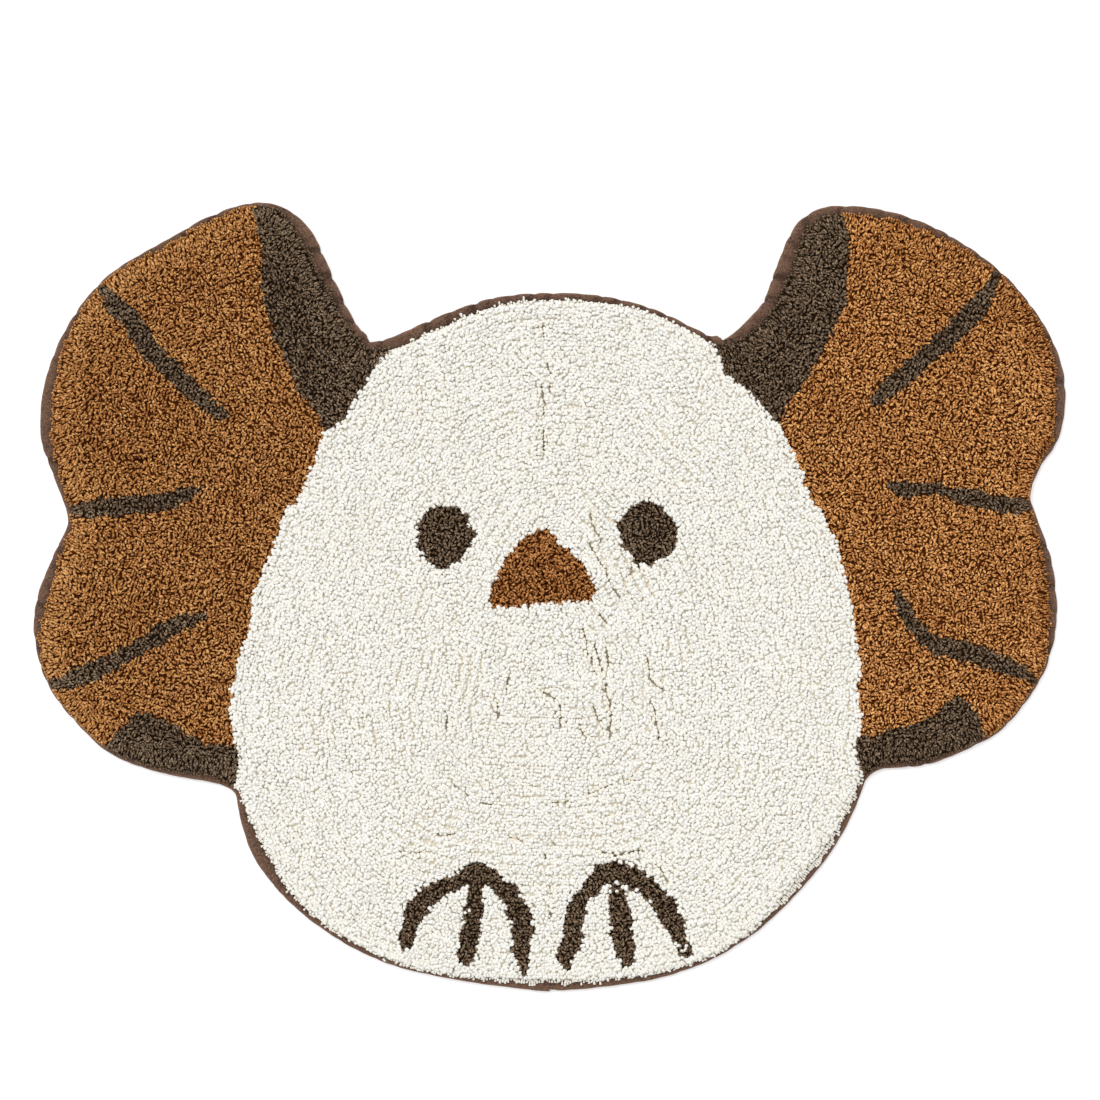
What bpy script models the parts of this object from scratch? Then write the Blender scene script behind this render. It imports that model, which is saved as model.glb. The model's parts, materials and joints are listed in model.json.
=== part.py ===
"""Animal shaped tufted rug, lying flat: a long-tailed bird seen from the front with its wings spread.

It is built as a maker cuts and sews it, in two pieces. The tufted cloth is backing and cut pile in one, flat
underneath and slightly lumpy on top. The edge binding is one cotton tape, folded round the cloth's raw edge.

The tables are in millimetres, on a rug 1,000 mm across its wings. X runs across the wings, Y towards the
head and Z up. The origin is under the middle of the rug, on the floor.
"""

import math
from collections import namedtuple

import bmesh
import bpy
import numpy as np
from mathutils import Vector
from mathutils.geometry import delaunay_2d_cdt

MM = 0.001

# Driving sizes, in metres.
RUG_WIDTH = 1.000
PILE_TOP = 0.0140  # highest pile tips above the floor
BACKING_THICKNESS = 0.0026
TAPE_THICKNESS = 0.0012
TAPE_HEIGHT = 0.0062  # over the folded edge
TAPE_UNDER = 0.0120  # width of the tape's leg under the rug
TAPE_TUCK = 0.0016  # how far the tape's upper leg runs on under the leaning pile
TAPE_LEAST = 0.0065  # narrowest upper leg
FOLD_DEPTH = 0.0016  # tape from its outer edge to the hollow of its fold
SHOULDER = 0.0090  # how far in from its edge the pile reaches its full height
GAP = 0.0003  # between the tape and the cloth

PLACE = RUG_WIDTH / 1000  # metres for each millimetre of a place in the tables

# How finely the shapes are divided, in metres where it is a length.
LONGEST_STEP = 0.018
SHARPEST_TURN = math.radians(20)
SPAN_POINTS = 24
TOP_SPACING = 0.022
BOTTOM_SPACING = 0.080
TROUGH_SPACING = 0.012

# The outer edge, anticlockwise from the bottom of the belly. bare is how much tape the pile leaves bare.
Edge = namedtuple("Edge", "x y bare")
BELLY_RIGHT = (
    Edge(0, -382, 9),
    Edge(56, -378, 6),
    Edge(110, -369, 4),
    Edge(161, -350, 2),
    Edge(203, -323, 3),
    Edge(247, -280, 8),
    Edge(278, -240, 6),
    Edge(298, -201, 6),
)
WING_RIGHT = (
    Edge(308, -176, 3),
    Edge(320, -168, 4),
    Edge(362, -164, 5),
    Edge(403, -149, 3),
    Edge(437, -130, 2),
    Edge(466, -96, 2),
    Edge(484, -62, 4),
    Edge(492, -16, 9),
    Edge(487, 33, 9),
    Edge(471, 80, 4),
    Edge(466, 98, 0),
    Edge(476, 126, 4),
    Edge(492, 150, 7),
    Edge(500, 190, 11),
    Edge(495, 230, 7),
    Edge(476, 269, 5),
    Edge(444, 309, 3),
    Edge(400, 343, 6),
    Edge(352, 367, 8),
    Edge(302, 378, 9),
    Edge(264, 377, 9),
    Edge(240, 362, 12),
    Edge(219, 318, 15),
    Edge(206, 285, 13),
    Edge(184, 261, 11),
)
CROWN = (
    Edge(169, 250, 8),
    Edge(147, 257, 4),
    Edge(106, 277, 3),
    Edge(60, 290, 5),
    Edge(5, 294.5, 6),
    Edge(-55, 289.5, 8),
    Edge(-106, 272.5, 10),
    Edge(-155, 251, 10),
)
WING_LEFT = (
    Edge(-173, 248, 9),
    Edge(-187, 264, 8),
    Edge(-211, 312, 11),
    Edge(-230, 352, 13),
    Edge(-251, 374, 8),
    Edge(-282, 382, 3),
    Edge(-325, 371, 6),
    Edge(-375, 344, 6),
    Edge(-430, 310, 3),
    Edge(-468, 262, 6),
    Edge(-490, 206, 11),
    Edge(-493.5, 153, 12),
    Edge(-480, 113, 8),
    Edge(-467.5, 73, 5),
    Edge(-481, 41, 8),
    Edge(-498.5, -6, 12),
    Edge(-499.5, -44, 6),
    Edge(-486, -87, 1),
    Edge(-460, -122, 2),
    Edge(-425, -153, 3),
    Edge(-377, -171, 5),
    Edge(-322, -182, 6),
)
BELLY_LEFT = (
    Edge(-306, -190, 4),
    Edge(-301, -212, 7),
    Edge(-288, -251, 13),
    Edge(-257, -292, 7),
    Edge(-211, -329, 4),
    Edge(-160, -355, 3),
    Edge(-95, -371, 3),
)
OUTLINE = BELLY_RIGHT + WING_RIGHT + CROWN + WING_LEFT + BELLY_LEFT

# Troughs in the pile, where the rug was folded or its rows have parted. reach is half a trough's width.
Trough = namedtuple("Trough", "x0 y0 x1 y1 depth reach")
TROUGHS = (
    Trough(-5, 262, -5, 128, 1.5, 7),
    Trough(40, 84, 68, -4, 2.0, 7),
    Trough(68, -4, 97, -118, 1.4, 9),
    Trough(-120, -214, -60, -238, 0.8, 9),
    Trough(-60, -238, 40, -236, 0.8, 9),
    Trough(-104, -262, -40, -284, 0.8, 9),
)

# Slow rises and falls of the pile: how many waves there are across and along a rug's width, and how high.
Wave = namedtuple("Wave", "across along phase height")
WAVES = (
    Wave(2.3, 0.8, 0.4, 0.30),
    Wave(-1.4, 3.1, 1.9, 0.25),
    Wave(5.2, 2.6, 4.0, 0.18),
    Wave(-3.7, 6.3, 2.7, 0.15),
)

# Colour (linear) and roughness of each piece's cloth.
WHITE_WOOL = ((0.80, 0.78, 0.70, 1.0), 0.95)
BROWN_COTTON = ((0.178, 0.114, 0.076, 1.0), 0.90)


def spline(points):
    """A smooth closed curve through rows of numbers: a centripetal Catmull-Rom spline."""
    pieces = []
    for i in range(len(points)):
        before, start, end, after = (points[(i + k) % len(points)] for k in (-1, 0, 1, 2))
        t0 = math.sqrt(math.dist(before[:2], start[:2]))
        t1 = math.sqrt(math.dist(start[:2], end[:2]))
        t2 = math.sqrt(math.dist(end[:2], after[:2]))
        leaving = t1 * ((start - before) / t0 - (end - before) / (t0 + t1) + (end - start) / t1)
        arriving = t1 * ((end - start) / t1 - (after - start) / (t1 + t2) + (after - end) / t2)
        t = np.linspace(0, 1, SPAN_POINTS, endpoint=False)[:, None]
        pieces.append(
            (2 * t**3 - 3 * t**2 + 1) * start
            + (t**3 - 2 * t**2 + t) * leaving
            + (3 * t**2 - 2 * t**3) * end
            + (t**3 - t**2) * arriving
        )
    return np.concatenate(pieces)


def stations():
    """Points on the outer edge, their inward normals and bare widths, closer together where it turns."""
    fine = spline(np.array(OUTLINE))
    places = fine[:, :2] * PLACE
    places -= (places.min(axis=0) + places.max(axis=0)) / 2
    bare = np.maximum(fine[:, 2], 0) * MM
    along = np.roll(places, -1, axis=0) - np.roll(places, 1, axis=0)
    heading = np.unwrap(np.arctan2(along[:, 1], along[:, 0]))
    step = np.linalg.norm(np.diff(places, axis=0), axis=1)
    chosen, travelled, turned = [0], 0.0, 0.0
    for i in range(1, len(places)):
        travelled += step[i - 1]
        turned += abs(heading[i] - heading[i - 1])
        if travelled / LONGEST_STEP + turned / SHARPEST_TURN >= 1:
            chosen.append(i)
            travelled, turned = 0.0, 0.0
    inward = np.column_stack([-np.sin(heading), np.cos(heading)])
    return places[chosen], inward[chosen], bare[chosen]


def ring(edge, inset, height):
    """The edge moved inwards by inset, one number or one for each station, at one height."""
    points, inward, _ = edge
    flat = points + inward * np.broadcast_to(inset, len(points))[:, None]
    return np.column_stack([flat, np.full(len(points), height)])


def loft(bm, rings, closed):
    """Quads between each ring of points and the next, and from the last back to the first where closed."""
    made = [[bm.verts.new(point) for point in points] for points in rings]
    pairs = list(zip(made, made[1:]))
    if closed:
        pairs.append((made[-1], made[0]))
    for lower, upper in pairs:
        for i, corner in enumerate(lower):
            j = (i + 1) % len(lower)
            bm.faces.new((corner, lower[j], upper[j], upper[i]))
    return made


def inside(points, border):
    """Which points lie inside the border, a closed row of points."""
    x, y = points[:, :1], points[:, 1:2]
    x0, y0 = border[:, 0], border[:, 1]
    x1, y1 = np.roll(x0, -1), np.roll(y0, -1)
    crosses = (y0 > y) != (y1 > y)
    reach = x0 + (y - y0) * (x1 - x0) / np.where(y1 == y0, 1, y1 - y0)
    return (crosses & (x < reach)).sum(axis=1) % 2 == 1


def spread(border, spacing, extra=None):
    """Points in staggered rows that fill the border, with the extra points among them."""
    low, high = border.min(axis=0), border.max(axis=0)
    rows = []
    for k, y in enumerate(np.arange(low[1], high[1], spacing * math.sqrt(3) / 2)):
        x = np.arange(low[0] + spacing * (k % 2) / 2, high[0], spacing)
        rows.append(np.column_stack([x, np.full(len(x), y)]))
    points = np.concatenate(rows)
    points = points[inside(points, border)]
    if extra is not None:
        points = points[nearest(points, extra) > 0.6 * spacing]
        points = np.concatenate([points, extra])
    return points[nearest(points, border) > 0.4 * spacing]


def nearest(points, others):
    """How far each point is from the nearest of the others."""
    return np.array([np.linalg.norm(others - point, axis=1).min() for point in points])


def ends(trough):
    return np.array([trough.x0, trough.y0]) * PLACE, np.array([trough.x1, trough.y1]) * PLACE


def trough_points():
    """Points along the bottom of each trough and along both its brims."""
    found = []
    for trough in TROUGHS:
        start, end = ends(trough)
        length = math.dist(start, end)
        across = np.array([start[1] - end[1], end[0] - start[0]]) / length
        steps = np.linspace(0, 1, math.ceil(length / TROUGH_SPACING), endpoint=False)[:, None]
        for side in (-trough.reach, 0, trough.reach):
            found.append(start + (end - start) * steps + across * side * MM)
    return np.concatenate(found)


def pile_height(points):
    """How high the pile stands at each point: its slow waves, less the troughs."""
    x, y = points[:, 0] / RUG_WIDTH, points[:, 1] / RUG_WIDTH
    low = sum(
        wave.height * (1 - np.sin(2 * math.pi * (wave.across * x + wave.along * y) + wave.phase)) / 2
        for wave in WAVES
    )
    for trough in TROUGHS:
        start, end = ends(trough)
        run = end - start
        share = np.clip((points - start) @ run / (run @ run), 0, 1)[:, None]
        distance = np.linalg.norm(points - start - run * share, axis=1) / (trough.reach * MM)
        low = low + trough.depth * np.clip(1 - distance, 0, 1)
    return PILE_TOP - low * MM


def cap(bm, border, points, heights):
    """Fills a ring of vertices with triangles that pass through the points inside it."""
    flat = [Vector(vertex.co[:2]) for vertex in border] + [Vector(point) for point in points]
    sides = [(i, (i + 1) % len(border)) for i in range(len(border))]
    places, _, faces, origins, _, _ = delaunay_2d_cdt(flat, sides, [], 1, 1e-7)
    inner = [bm.verts.new((*point, height)) for point, height in zip(points, heights)]
    known = list(border) + inner
    vertices = [known[origin[0]] for origin in origins[: len(places)]]
    for face in faces:
        bm.faces.new([vertices[i] for i in face])


def finish(bm, name, cloth, collection):
    """Makes the shape an object of its own, with its faces outwards and its own material."""
    bmesh.ops.recalc_face_normals(bm, faces=bm.faces)
    mesh = bpy.data.meshes.new(name)
    bm.to_mesh(mesh)
    bm.free()
    colour, roughness = cloth
    material = bpy.data.materials.new(name)
    material.use_nodes = True
    surface = material.node_tree.nodes["Principled BSDF"]
    surface.inputs["Base Color"].default_value = colour
    surface.inputs["Roughness"].default_value = roughness
    surface.inputs["Metallic"].default_value = 0.0
    material.diffuse_color = colour
    mesh.materials.append(material)
    mesh.shade_smooth()
    mesh.set_sharp_from_angle(angle=math.radians(40))
    made = bpy.data.objects.new(name, mesh)
    collection.objects.link(made)
    return made


def upper_leg(edge):
    """Width of the tape's upper leg at each station, from the outer edge to where the pile stands."""
    return np.maximum(edge[2] + TAPE_TUCK, TAPE_LEAST)


def tufted_cloth(edge, collection):
    """Backing and pile in one: a thin lip that the tape holds, and pile that bulges out over the tape."""
    bare = edge[2]
    root = upper_leg(edge) + GAP
    lip_low = TAPE_THICKNESS + GAP
    lip_high = lip_low + BACKING_THICKNESS
    lip_edge = FOLD_DEPTH + GAP
    under = TAPE_UNDER + GAP
    bulge_low = TAPE_HEIGHT + 2 * GAP
    bulge = PILE_TOP - bulge_low
    # Inset from the outer edge, and height.
    section = (
        (under, 0.0),
        (under, lip_low),
        (lip_edge, lip_low),
        (lip_edge, lip_high),
        (root, lip_high),
        (root, bulge_low),
        (bare, bulge_low + 0.15 * bulge),
        (bare + 0.08 * SHOULDER, bulge_low + 0.45 * bulge),
        (bare + 0.35 * SHOULDER, bulge_low + 0.75 * bulge),
    )
    rings = [ring(edge, inset, height) for inset, height in section]
    shoulder = ring(edge, bare + SHOULDER, 0.0)
    shoulder[:, 2] = pile_height(shoulder[:, :2]) - GAP
    bm = bmesh.new()
    made = loft(bm, [*rings, shoulder], closed=False)
    top = spread(shoulder[:, :2], TOP_SPACING, trough_points())
    cap(bm, made[-1], top, pile_height(top))
    bottom = spread(rings[0][:, :2], BOTTOM_SPACING)
    cap(bm, made[0], bottom, np.zeros(len(bottom)))
    return finish(bm, "tufted_cloth", WHITE_WOOL, collection)


def edge_binding(edge, collection):
    """One tape folded round the cloth's lip: a leg underneath, a rolled edge and a leg on top."""
    leg = upper_leg(edge)
    hollow_low = TAPE_THICKNESS
    hollow_high = TAPE_THICKNESS + BACKING_THICKNESS + 2 * GAP
    roll = 0.4 * TAPE_HEIGHT
    # Inset from the outer edge, and height.
    section = (
        (TAPE_UNDER, 0.0),
        (roll, 0.0),
        (0.25 * roll, 0.15 * TAPE_HEIGHT),
        (0.0, 0.45 * TAPE_HEIGHT),
        (0.30 * roll, 0.82 * TAPE_HEIGHT),
        (roll, TAPE_HEIGHT),
        (0.65 * leg, 0.98 * TAPE_HEIGHT),
        (leg, hollow_high + TAPE_THICKNESS),
        (leg, hollow_high),
        (FOLD_DEPTH, hollow_high),
        (FOLD_DEPTH, hollow_low),
        (TAPE_UNDER, hollow_low),
    )
    bm = bmesh.new()
    loft(bm, [ring(edge, inset, height) for inset, height in section], closed=True)
    return finish(bm, "edge_binding", BROWN_COTTON, collection)


def main():
    for old in list(bpy.data.objects):
        bpy.data.objects.remove(old, do_unlink=True)
    collection = bpy.data.collections.new("animal_rug")
    bpy.context.scene.collection.children.link(collection)
    edge = stations()
    tufted_cloth(edge, collection)
    edge_binding(edge, collection)


main()
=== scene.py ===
"""Bird shaped tufted rug: its pile of single yarn ends, its backing and the tape folded round its edge.

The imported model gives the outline, the tape's width and the height of the pile. The tables are in millimetres
from the middle of the rug, X to the right and Y towards the head. Everything else is in metres.
"""

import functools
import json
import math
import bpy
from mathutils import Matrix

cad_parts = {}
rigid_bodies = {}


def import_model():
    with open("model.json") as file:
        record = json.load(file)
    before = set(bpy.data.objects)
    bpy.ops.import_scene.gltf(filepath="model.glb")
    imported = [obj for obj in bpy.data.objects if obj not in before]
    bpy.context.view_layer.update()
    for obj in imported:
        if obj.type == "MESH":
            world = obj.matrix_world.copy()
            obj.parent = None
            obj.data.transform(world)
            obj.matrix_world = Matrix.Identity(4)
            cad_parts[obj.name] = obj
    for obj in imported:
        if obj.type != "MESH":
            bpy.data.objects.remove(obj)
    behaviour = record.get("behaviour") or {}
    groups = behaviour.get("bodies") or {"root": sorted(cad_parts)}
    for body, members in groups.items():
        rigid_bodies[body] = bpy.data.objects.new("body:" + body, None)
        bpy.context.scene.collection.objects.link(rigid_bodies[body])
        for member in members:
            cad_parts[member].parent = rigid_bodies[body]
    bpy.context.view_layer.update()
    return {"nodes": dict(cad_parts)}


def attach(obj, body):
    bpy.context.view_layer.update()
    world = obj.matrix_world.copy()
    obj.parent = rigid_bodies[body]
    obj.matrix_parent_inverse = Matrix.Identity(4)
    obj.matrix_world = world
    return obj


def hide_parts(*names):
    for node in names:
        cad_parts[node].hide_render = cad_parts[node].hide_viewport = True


bl_info = {
    "name": "Bird Shaped Tufted Rug",
    "version": (1, 0, 0),
    "blender": (4, 5, 0),
    "location": "View3D > Sidebar > Rug",
    "description": "Tufts a rug in the shape of a small bird and binds its edge with tape",
    "category": "Object",
}

from collections import namedtuple

import bmesh
import bpy
import numpy as np
from bpy.props import FloatProperty, FloatVectorProperty, IntProperty, PointerProperty
from bpy.types import Operator, Panel, PropertyGroup
from mathutils import Vector, noise
from mathutils.bvhtree import BVHTree
from mathutils.geometry import delaunay_2d_cdt
from mathutils.kdtree import KDTree

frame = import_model()
CLOTH = frame["nodes"]["tufted_cloth"]
BINDING = frame["nodes"]["edge_binding"]

MM = 0.001
COLLECTION = "bird_rug"

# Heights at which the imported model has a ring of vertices.
TAPE_WIDEST = 0.00279
TAPE_LEG_TOP = 0.0056
PILE_WIDEST = 0.00788


def table(kind, *rows):
    """Rows of numbers, each as a named tuple of one kind."""
    return tuple(kind(*row) for row in rows)


# The flanks, where the white body meets the wings: the x of each at one y.
Flank = namedtuple("Flank", "y left right")
FLANKS = table(
    Flank,
    (300, -148, 156), (250, -148, 156), (240, -153, 161), (228, -165, 166), (216, -172, 169),
    (200, -183, 191), (185, -190, 205), (170, -198, 218), (158, -219, 226), (137, -225, 237),
    (115, -233, 245), (94, -243, 254), (80, -258, 264), (60, -262, 274), (33, -273, 283),
    (0, -287, 290), (-35, -291, 296), (-55, -299, 299), (-75, -303, 301), (-95, -308, 298),
    (-120, -309, 301), (-148, -301, 295), (-162, -300, 299), (-184, -304, 306),
)
# Each wing is brown from the flank out to this x.
LEADING_EDGES = table(
    Flank,
    (400, -286, 277), (378, -286, 278), (365, -286, 286), (350, -281, 289), (335, -277, 290),
    (305, -279, 287), (285, -277, 288), (265, -271, 277), (247, -265, 269), (230, -256, 260),
    (214, -249, 252), (199, -243, 240), (187, -232, 231), (173, -223, 224), (161, -219, 219),
)

# Lines of brown yarn: places along the middle of each and its width there.
Mark = namedtuple("Mark", "x y width")
WING_STRIPES = (
    table(
        Mark,
        (-433, 298, 10), (-421, 283, 18), (-407, 270, 20), (-383, 234, 20), (-366, 219, 18),
        (-335, 190, 16), (-316, 176, 10),
    ),
    table(
        Mark,
        (-466, 84, 8), (-450, 84, 16), (-430, 86, 18), (-370, 91, 18), (-355, 97, 14), (-337, 104, 6),
    ),
    table(
        Mark,
        (-484, -86, 8), (-465, -82, 16), (-447, -75, 20), (-425, -65, 16), (-400, -51, 15),
        (-378, -37, 18), (-355, -25, 16), (-331, -19, 6),
    ),
    table(
        Mark,
        (432, 311, 8), (424, 293, 16), (410, 275, 21), (376, 242, 19), (342, 213, 18), (325, 200, 16),
        (314, 186, 8),
    ),
    table(
        Mark,
        (328, 107, 6), (345, 103, 18), (362, 104, 12), (380, 103, 10), (397, 97, 14), (415, 94, 17),
        (450, 87, 15), (466, 88, 10),
    ),
    table(
        Mark,
        (337, 3, 8), (342, -13, 14), (352, -27, 14), (363, -41, 14), (380, -49, 18), (400, -53, 19),
        (420, -59, 20), (455, -72, 14), (468, -82, 6),
    ),
)
TOES = (
    table(
        Mark,
        (-139, -334, 15), (-135, -318, 17), (-129, -302, 20), (-120, -291, 21), (-107, -283, 17),
        (-91, -275, 16), (-74, -269, 18), (-60, -269, 17), (-49, -279, 18), (-37, -290, 20),
        (-29, -307, 22), (-26, -323, 20), (-28, -339, 16), (-25, -358, 12),
    ),
    table(
        Mark,
        (-71, -279, 14), (-74, -316, 18), (-77, -330, 21), (-81, -351, 15),
    ),
    table(
        Mark,
        (15, -356, 14), (16, -344, 18), (22, -332, 20), (25, -302, 17), (32, -290, 16), (42, -279, 18),
        (51, -268, 18), (65, -265, 20), (79, -269, 20), (93, -280, 20), (105, -290, 20),
        (114, -302, 22), (119, -316, 20), (126, -328, 15), (132, -343, 12),
    ),
    table(
        Mark,
        (65, -276, 10), (66, -293, 18), (69, -311, 22), (70, -328, 22), (73, -342, 19), (75, -352, 14),
    ),
)

# Filled shapes, corner by corner.
WING_PATCHES = (
    (
        (-430, -144), (-418, -133), (-400, -112), (-384, -114), (-363, -124), (-347, -135),
        (-332, -143), (-311, -142), (-295, -148), (-295, -195), (-380, -205), (-440, -165),
    ),
    (
        (290, -138), (306, -134), (315, -136), (326, -128), (346, -124), (367, -117), (378, -110),
        (385, -100), (399, -95), (404, -103), (414, -112), (421, -130), (424, -150), (360, -205),
        (290, -195),
    ),
)
BEAK = (
    (-6, 65), (-18, 62), (-30, 54), (-47, 27), (-60, -3), (-55, -10), (-30, -9), (14, -6), (37, -5),
    (46, 7), (38, 25), (23, 43), (11, 50), (3, 61),
)
EYES = (
    (
        (-113, 87), (-100, 88), (-88, 85), (-80, 78), (-78, 68), (-72, 64), (-75, 55), (-78, 47),
        (-82, 39), (-92, 32), (-99, 27), (-109, 28), (-118, 35), (-125, 42), (-129, 51), (-128, 63),
        (-126, 72), (-121, 82),
    ),
    (
        (83, 90), (98, 92), (110, 87), (116, 78), (123, 69), (125, 57), (119, 45), (112, 39), (102, 31),
        (89, 30), (81, 34), (78, 42), (71, 48), (68, 59), (66, 71), (71, 78), (75, 84),
    ),
)

# Where a single white tuft shows in the feet.
WHITE_SPECKS = (
    (66, -277), (53, -282), (65, -286), (86, -286), (98, -293), (132, -340),
)

# Lines along which the pile has parted.
CRACKS = (
    ((-6, 262), (-5, 246)), ((-3, 229), (0, 216)), ((-7, 206), (-7, 197), (-5, 175)),
    ((-1, 205), (1, 199)), ((-6, 160), (-6, 132)), ((40, 80), (43, 68), (49, 53)),
    ((37, 52), (48, 36), (56, 22), (63, 7), (68, -1)), ((78, 37), (80, 25), (75, 19)),
    ((49, -18), (56, -27)), ((33, -32), (36, -44), (37, -57)), ((44, -46), (49, -63), (50, -74)),
    ((40, -57), (43, -68), (46, -75)), ((54, -50), (57, -68)), ((93, -57), (98, -79), (111, -91)),
    ((54, -84), (58, -102)), ((-8, -92), (0, -96), (5, -99)), ((10, -106), (11, -124)),
    ((28, -120), (35, -137)), ((44, -106), (47, -118), (51, -121)),
    ((58, -104), (59, -126), (58, -135)), ((97, -98), (104, -124), (105, -139)),
    ((-50, -102), (-50, -118)), ((-39, -79), (-42, -91)), ((-99, -110), (-100, -128)),
    ((-93, -180), (-87, -186), (-80, -192)), ((-66, -200), (-48, -201)), ((4, -200), (24, -198)),
    ((38, -191), (46, -187), (58, -182)), ((71, -179), (80, -177)),
    ((-110, -229), (-98, -232), (-89, -230)), ((-145, -246), (-135, -248), (-122, -246)),
    ((-40, -233), (-27, -236)), ((4, -234), (5, -238)), ((-4, -250), (-4, -254)),
    ((0, -282), (0, -290)), ((0, -298), (-1, -312)), ((49, -248), (68, -249), (90, -247)),
    ((101, -258), (111, -269), (115, -275)), ((-19, 30), (-10, 32), (-7, 22), (-1, 3)),
    ((2, 31), (10, 22)), ((-443, 230), (-447, 218)), ((-433, 200), (-436, 190)),
    ((-300, 91), (-293, 73)), ((-402, 132), (-380, 135)),
)

# How far in from the pile's edge the white rim stops, by the direction from the body's middle in degrees.
BODY_MIDDLE = (0.0, -42.0)
RIM = (
    (60, 3.0), (67, 3.0), (72, 6.0), (77, 3.2), (84, 4.2), (92, 0.8), (104, 1.2), (112, 3.6),
    (119, 5.5), (126, 4.5), (200, 0.0), (216, 1.4), (226, 2.6), (233, 1.6), (239, 5.5), (246, 1.4),
    (258, 0.6), (267, -1.4), (278, 0.4), (288, 4.2), (295, 3.2), (302, 2.4), (309, 1.0), (315, -4.5),
    (322, -2.2), (330, 0.0),
)

# Round which places the rows stand apart most, and the radius of each.
PARTINGS = (
    (60, 70, 32), (85, 10, 38), (75, -50, 35), (45, -105, 32), (-60, -95, 30), (-145, -125, 32),
    (-105, -232, 38), (-25, -232, 38), (65, -225, 42), (50, -185, 25),
)

# Where the tape is pulled in most, and where it stands out instead.
Dent = namedtuple("Dent", "x y depth")
DENTS = table(
    Dent,
    (-221, 334, 1.5), (-211, 309, 1.6), (-199, 285, 1.5), (-190, 264, 0.7), (-179, 253, -1.2),
    (-173, 247, 1.8), (-160, 249, 0.9), (206, 287, 1.5), (218, 306, 0.8), (169, 247, 1.8),
    (162, 252, -1.2), (152, 254, 0.9), (-116, 268, 1.2), (-71, 282, 1.2),
)

# One section of the tape, upper part and lower part. Each row has how far in from the fold it lies, a further
# share of the whole leg, its height, how far it gives way to puckers, and how light it is painted: low next to
# the pile and under the rug as painted shade, high along the outer fold as wear.
Section = namedtuple("Section", "inset leg_share height give worn")
TAPE_SECTION = table(
    Section,
    (0.0, 1.00, 4.5, 0.0, 0.0), (0.1, 1.00, 5.0, 0.0, 0.0), (0.0, 1.00, 5.55, 0.3, 0.0),
    (0.9, 0.66, 5.95, 0.8, 0.1), (1.6, 0.33, 6.15, 1.0, 0.3), (2.0, 0.0, 6.15, 1.0, 0.6),
    (1.0, 0.0, 5.65, 1.0, 0.8), (0.35, 0.0, 4.75, 1.0, 1.0), (0.05, 0.0, 3.8, 1.0, 1.0),
    (0.0, 0.0, 2.9, 1.0, 1.0), (0.1, 0.0, 2.0, 1.0, 0.9), (0.5, 0.0, 0.9, 0.8, 0.7),
    (1.2, 0.0, 0.2, 0.4, 0.5), (2.6, 0.0, 0.02, 0.0, 0.3),
)
TAPE_UNDER_SECTION = table(
    Section,
    (0.5, 0.5, 0.0, 0.0, 0.2), (-0.4, 1.0, 0.02, 0.0, 0.2), (0.0, 1.0, 0.5, 0.0, 0.2),
    (-0.3, 1.0, 1.15, 0.0, 0.0), (0.5, 0.5, 1.15, 0.0, 0.0), (2.8, 0.0, 1.25, 0.0, 0.0),
    (1.7, 0.0, 2.1, 0.0, 0.0), (1.6, 0.0, 3.2, 0.0, 0.0), (2.4, 0.0, 4.3, 0.0, 0.0),
)

# Which yarn a root is tufted with.
WHITE, OCHRE, BROWN_EDGE, BROWN_MARK, BROWN_EYE, BROWN_FOOT, OCHRE_BEAK = range(7)

# Distance between two rows of tufts, and how many rows of yarn ends stand in that distance.
ROW = 0.0095
ENDS_A_ROW = 3
# Half the width of a crack, and half that of a speck of white.
CRACK = 0.0032
SPECK = 0.0019
# Points nearer together than this share of their spacing count as one.
MEETING = 0.6
# How far in from the pile's edge the roots of its two lowest rows lie, from and to.
LOW_ROWS = ((0.0032, 0.0046), (0.0026, 0.0036))
# How much of the tape the yarn ends leave bare, at least.
TAPE_SHOWN = 0.0020
# How far apart the places along the rug's edge are, for the pile and for what lies hidden under it.
PILE_STEP = 0.0025
HIDDEN_STEP = 0.006
# The tape's overlap ends here.
TAPE_JOIN = (0.004, -0.378)
# The body is tufted in three pieces, which meet at these two y.
HEAD_FROM = 0.060
BELLY_BELOW = -0.120
# How far cracks stray from their lines, and how far the yarn ends beside them dip.
CRACK_STRAYING = 0.0022
CRACK_DIP = 0.0008
TINY = 1e-6

# Smooth noise: the length over which it changes, and the layer that keeps it apart from the rest.
Noise = namedtuple("Noise", "length layer")
CLUMPS = Noise(0.012, 1.0)
SWIRLS = Noise(0.045, 2.0)
RAGGED_BORDER = Noise(0.0075, 3.0)
LOCKS = Noise(0.010, 4.0)
ROWS_APART = Noise(0.05, 5.0)
PACKED_TOP = Noise(0.01, 6.0)
PILE_TOP = Noise(0.012, 7.0)
LOW_TIPS = Noise(0.006, 8.0)
CRACK_WIDTHS = Noise(0.009, 9.0)
CRACK_WAYS = Noise(0.014, 10.0)
# Blender's noise_vector starts from the clock unless it is given a seed.
DRIFT_SEED = 3

# What the white yarn does, and what the others do. All but the reach of the low locks are shares.
HABITS = {
    "swirl": (0.25, 0.8),  # part of the wide swirls in the lean
    "lean": (0.75, 1.0),  # size of the lean
    "laid": (0.4, 1.0),  # how far the ends near the rug's edge are laid down
    "apart": (1.0, 0.4),  # how far the rows stand apart
    "crack": (1.0, 0.6),  # width of the cracks
    "rough": (0.6, 1.0),  # unevenness of the tops
    "low_lock": (0.0036, 0.0026),  # reach of the locks in the lowest rows
    "low_width": (0.62, 0.92),  # thickness of the lowest rows
    "rim_slimming": (0.35, 0.1),  # how much thinner the ends at the rim are
}

# A cut end: its width across and along its lean, and how far its middle stands out, as shares of the sizes.
CutEnd = namedtuple("CutEnd", "wide long blunt")
WHITE_END = CutEnd(1.06, 1.22, 0.55)
OCHRE_END = CutEnd(0.55, 1.25, 1.0)
BROWN_END = CutEnd(0.55, 1.15, 1.0)

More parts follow.
